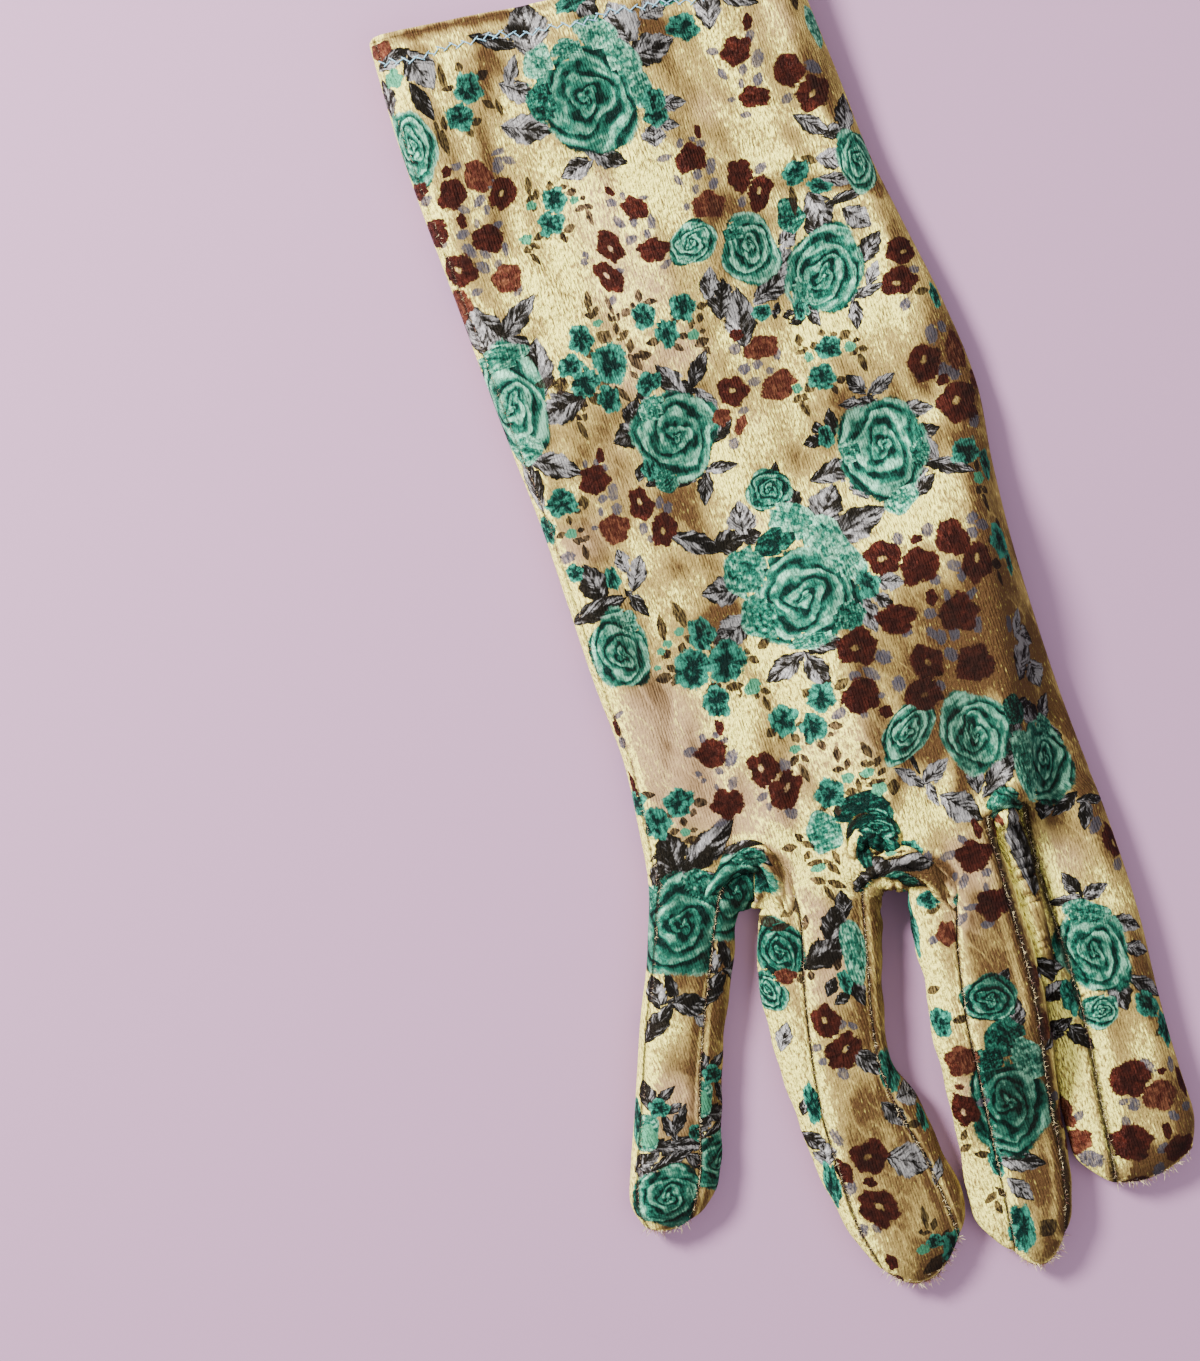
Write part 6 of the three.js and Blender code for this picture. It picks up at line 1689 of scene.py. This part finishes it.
def close_tree(tree, points, shape, rotation, scale, material):
    """Sets the shape on the points, and makes it a plain mesh with its material."""
    placed = add_node(tree, "GeometryNodeInstanceOnPoints",
                      {"Points": points, "Instance": shape, "Rotation": rotation, "Scale": scale})
    plain = add_node(tree, "GeometryNodeRealizeInstances", {"Geometry": placed.outputs[0]})
    dressed = add_node(tree, "GeometryNodeSetMaterial",
                       {"Geometry": plain.outputs[0], "Material": material})
    add_node(tree, "NodeGroupOutput", {0: dressed.outputs[0]})


def lines_mesh(name, lines):
    """Loose edges along each line, in metres, for a tree to follow."""
    points, edges = [], []
    for line in lines:
        first = len(points)
        points += ((np.asarray(line) - glove_centre) / 1000).tolist()
        edges += [(k, k + 1) for k in range(first, len(points) - 1)]
    mesh = bpy.data.meshes.new(name)
    mesh.from_pydata(points, edges, [])
    return mesh


def run_tree(name, lines, tree, **sizes):
    """Runs a tree on some lines and keeps its result as a plain mesh."""
    piece = bpy.data.objects.new(name, lines_mesh(name + " lines", lines))
    bpy.context.collection.objects.link(piece)
    modifier = piece.modifiers.new("repeat", "NODES")
    modifier.node_group = tree
    for socket in tree.interface.items_tree:
        if socket.name in sizes:
            modifier[socket.identifier] = sizes[socket.name]
    view = bpy.context.evaluated_depsgraph_get()
    mesh = bpy.data.meshes.new_from_object(piece.evaluated_get(view), depsgraph=view)
    piece.modifiers.remove(modifier)
    piece.data = mesh
    mesh.name = name
    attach(piece, "root")
    return piece


def follow_lines(tree, inputs, spacing):
    """Points along the lines, with the rotation that turns X along the line and Z up."""
    curve = add_node(tree, "GeometryNodeMeshToCurve", {"Mesh": inputs.outputs["Geometry"]})
    spaced = add_node(tree, "GeometryNodeCurveToPoints",
                      {"Curve": curve.outputs[0], "Length": spacing}, mode="LENGTH")
    facing = add_node(tree, "FunctionNodeAlignRotationToVector",
                      {"Vector": spaced.outputs["Tangent"]}, axis="X", pivot_axis="Z")
    return spaced, facing


def flecked_material(name, grain, low, high, dark, light, roughness, sheen):
    material, tree, shader = new_material(name)
    flecks = tree.nodes.new("ShaderNodeTexNoise")
    flecks.inputs["Scale"].default_value = grain
    place = tree.nodes.new("ShaderNodeTexCoord")
    tree.links.new(place.outputs["Object"], flecks.inputs["Vector"])
    colour = Wire(tree, flecks.outputs[0]).smooth(low, high).blend(dark, light)
    tree.links.new(colour.socket, shader.inputs["Base Color"])
    shader.inputs["Roughness"].default_value = roughness
    shader.inputs["Sheen Weight"].default_value = sheen
    return material


thread = flecked_material("pale blue thread", 2600, 0.35, 0.65, paint(68, 113, 136),
                          paint(140, 183, 200), roughness=0.6, sheen=0.2)

zigzag = new_tree("zigzag stitch", pitch=1.0, length=1.0, radius=1.0, slant=1.0)
sizes_in = add_node(zigzag, "NodeGroupInput")
stitch_points, stitch_facing = follow_lines(zigzag, sizes_in, sizes_in.outputs["pitch"])
half_length = add_math(zigzag, "MULTIPLY", sizes_in.outputs["length"], 0.5)
back_end = add_math(zigzag, "MULTIPLY", half_length, -1.0)
start_at = add_node(zigzag, "ShaderNodeCombineXYZ", {0: back_end, 2: -thread_dip / 1000})
end_at = add_node(zigzag, "ShaderNodeCombineXYZ", {0: half_length, 2: -thread_dip / 1000})
arch = add_node(zigzag, "GeometryNodeCurveQuadraticBezier",
                {"Resolution": 5, "Start": start_at.outputs[0], "Middle": (0, 0, thread_arch / 1000),
                 "End": end_at.outputs[0]})
ring = add_node(zigzag, "GeometryNodeCurvePrimitiveCircle",
                {"Resolution": 6, "Radius": sizes_in.outputs["radius"]})
stitch = add_node(zigzag, "GeometryNodeCurveToMesh",
                  {"Curve": arch.outputs[0], "Profile Curve": ring.outputs[0], "Fill Caps": True})
order = add_node(zigzag, "GeometryNodeInputIndex")
odd = add_math(zigzag, "FLOORED_MODULO", order.outputs[0], 2.0)
sign = add_math(zigzag, "MULTIPLY_ADD", odd, 2.0, -1.0)
slanted = add_math(zigzag, "MULTIPLY", sign, sizes_in.outputs["slant"])
slant_turn = add_node(zigzag, "ShaderNodeCombineXYZ", {2: slanted})
stitch_turn = add_node(zigzag, "FunctionNodeRotateRotation",
                       {"Rotation": stitch_facing.outputs[0], "Rotate By": slant_turn.outputs[0]},
                       rotation_space="LOCAL")
close_tree(zigzag, stitch_points.outputs["Points"], stitch.outputs[0], stitch_turn.outputs[0],
           (1, 1, 1), thread)


def stitch_line():
    """The zigzag's middle line on the back, a little uneven, as it is guided by hand."""
    share = np.linspace(stitch_margin, 1 - stitch_margin, stitch_line_points)[None, :]
    x = mix(hand["ulnar"][0], hand["radial"][0], share)
    y = cuff_edge(x) - stitch_inset + 0.5 * np.sin(x * 0.21) + 0.3 * np.sin(x * 0.57)
    low, high = hand_layers(x, y)
    from_side = np.minimum(x - hand_edge("ulnar", y), hand_edge("radial", y) - x) - wall / 2
    z = layer_height(low, high, round_off(from_side, hand_round), False)
    line = soften(np.stack([x, y, z], -1), False)
    line[..., 2] += wall / 2 + thread_radius * thread_rise
    return line.reshape(-1, 3)


stitches = run_tree("hem_stitches", [stitch_line()], zigzag,
                    pitch=stitch_pitch / 1000, length=stitch_length / 1000,
                    radius=thread_radius / 1000, slant=math.radians(stitch_slant))


# Seam fuzz
# The cut edges of the velvet fray along the seams and round the fingertips. The loose pile
# stands out as short fibres, denser and longer at the tips.
fibre_spacing = 0.22
fibre_length = 0.8
fibre_radius = 0.045
fibre_lift = 0.1
fibre_lean = 1.2
fibre_turn = 6.28
least_growth, most_growth = 0.3, 1.4
tip_fibre_spacing = 0.1375
tip_fibre_length = 2.0
tip_fibre_radius = 0.1
tip_heights = (-0.5, 0.0, 0.5)  # three rows of fibres round a fingertip's seam

frayed = flecked_material("frayed pile", 640, 0.4, 0.62, paint(96, 54, 34),
                          paint(222, 202, 150), roughness=0.8, sheen=0.3)

fray = new_tree("fray", spacing=1.0, length=1.0, radius=1.0, seed=1)
fray_in = add_node(fray, "NodeGroupInput")
fray_points, fray_facing = follow_lines(fray, fray_in, fray_in.outputs["spacing"])
fibre = add_node(fray, "GeometryNodeMeshCone",
                 {"Vertices": 3, "Radius Bottom": fray_in.outputs["radius"],
                  "Depth": fray_in.outputs["length"]}, fill_type="NGON")
lean = add_node(fray, "FunctionNodeRandomValue",
                {0: (-fibre_lean, -fibre_lean, 0), 1: (fibre_lean, fibre_lean, fibre_turn),
                 "Seed": fray_in.outputs["seed"]}, data_type="FLOAT_VECTOR")
fray_turn = add_node(fray, "FunctionNodeRotateRotation",
                     {"Rotation": fray_facing.outputs[0], "Rotate By": lean.outputs[0]},
                     rotation_space="LOCAL")
growth = add_node(fray, "FunctionNodeRandomValue",
                  {2: least_growth, 3: most_growth, "Seed": fray_in.outputs["seed"]},
                  data_type="FLOAT")
close_tree(fray, fray_points.outputs["Points"], fibre.outputs[0], fray_turn.outputs[0],
           growth.outputs[1], frayed)


def raised(line, by):
    lifted = np.array(line)
    lifted[:, 2] += by
    return lifted


open_seams = [raised(line, wall / 2 + fibre_lift) for name, line in seams.items()
              if not name.endswith(("tip", "below", "rim"))]
seam_fuzz = run_tree("seam_fuzz", open_seams, fray, spacing=fibre_spacing / 1000,
                     length=fibre_length / 1000, radius=fibre_radius / 1000, seed=7)
tip_seams = [raised(seams[name + " tip"], by) for name in fingers for by in tip_heights]
tip_fuzz = run_tree("fingertip_fuzz", tip_seams, fray, spacing=tip_fibre_spacing / 1000,
                    length=tip_fibre_length / 1000, radius=tip_fibre_radius / 1000, seed=11)
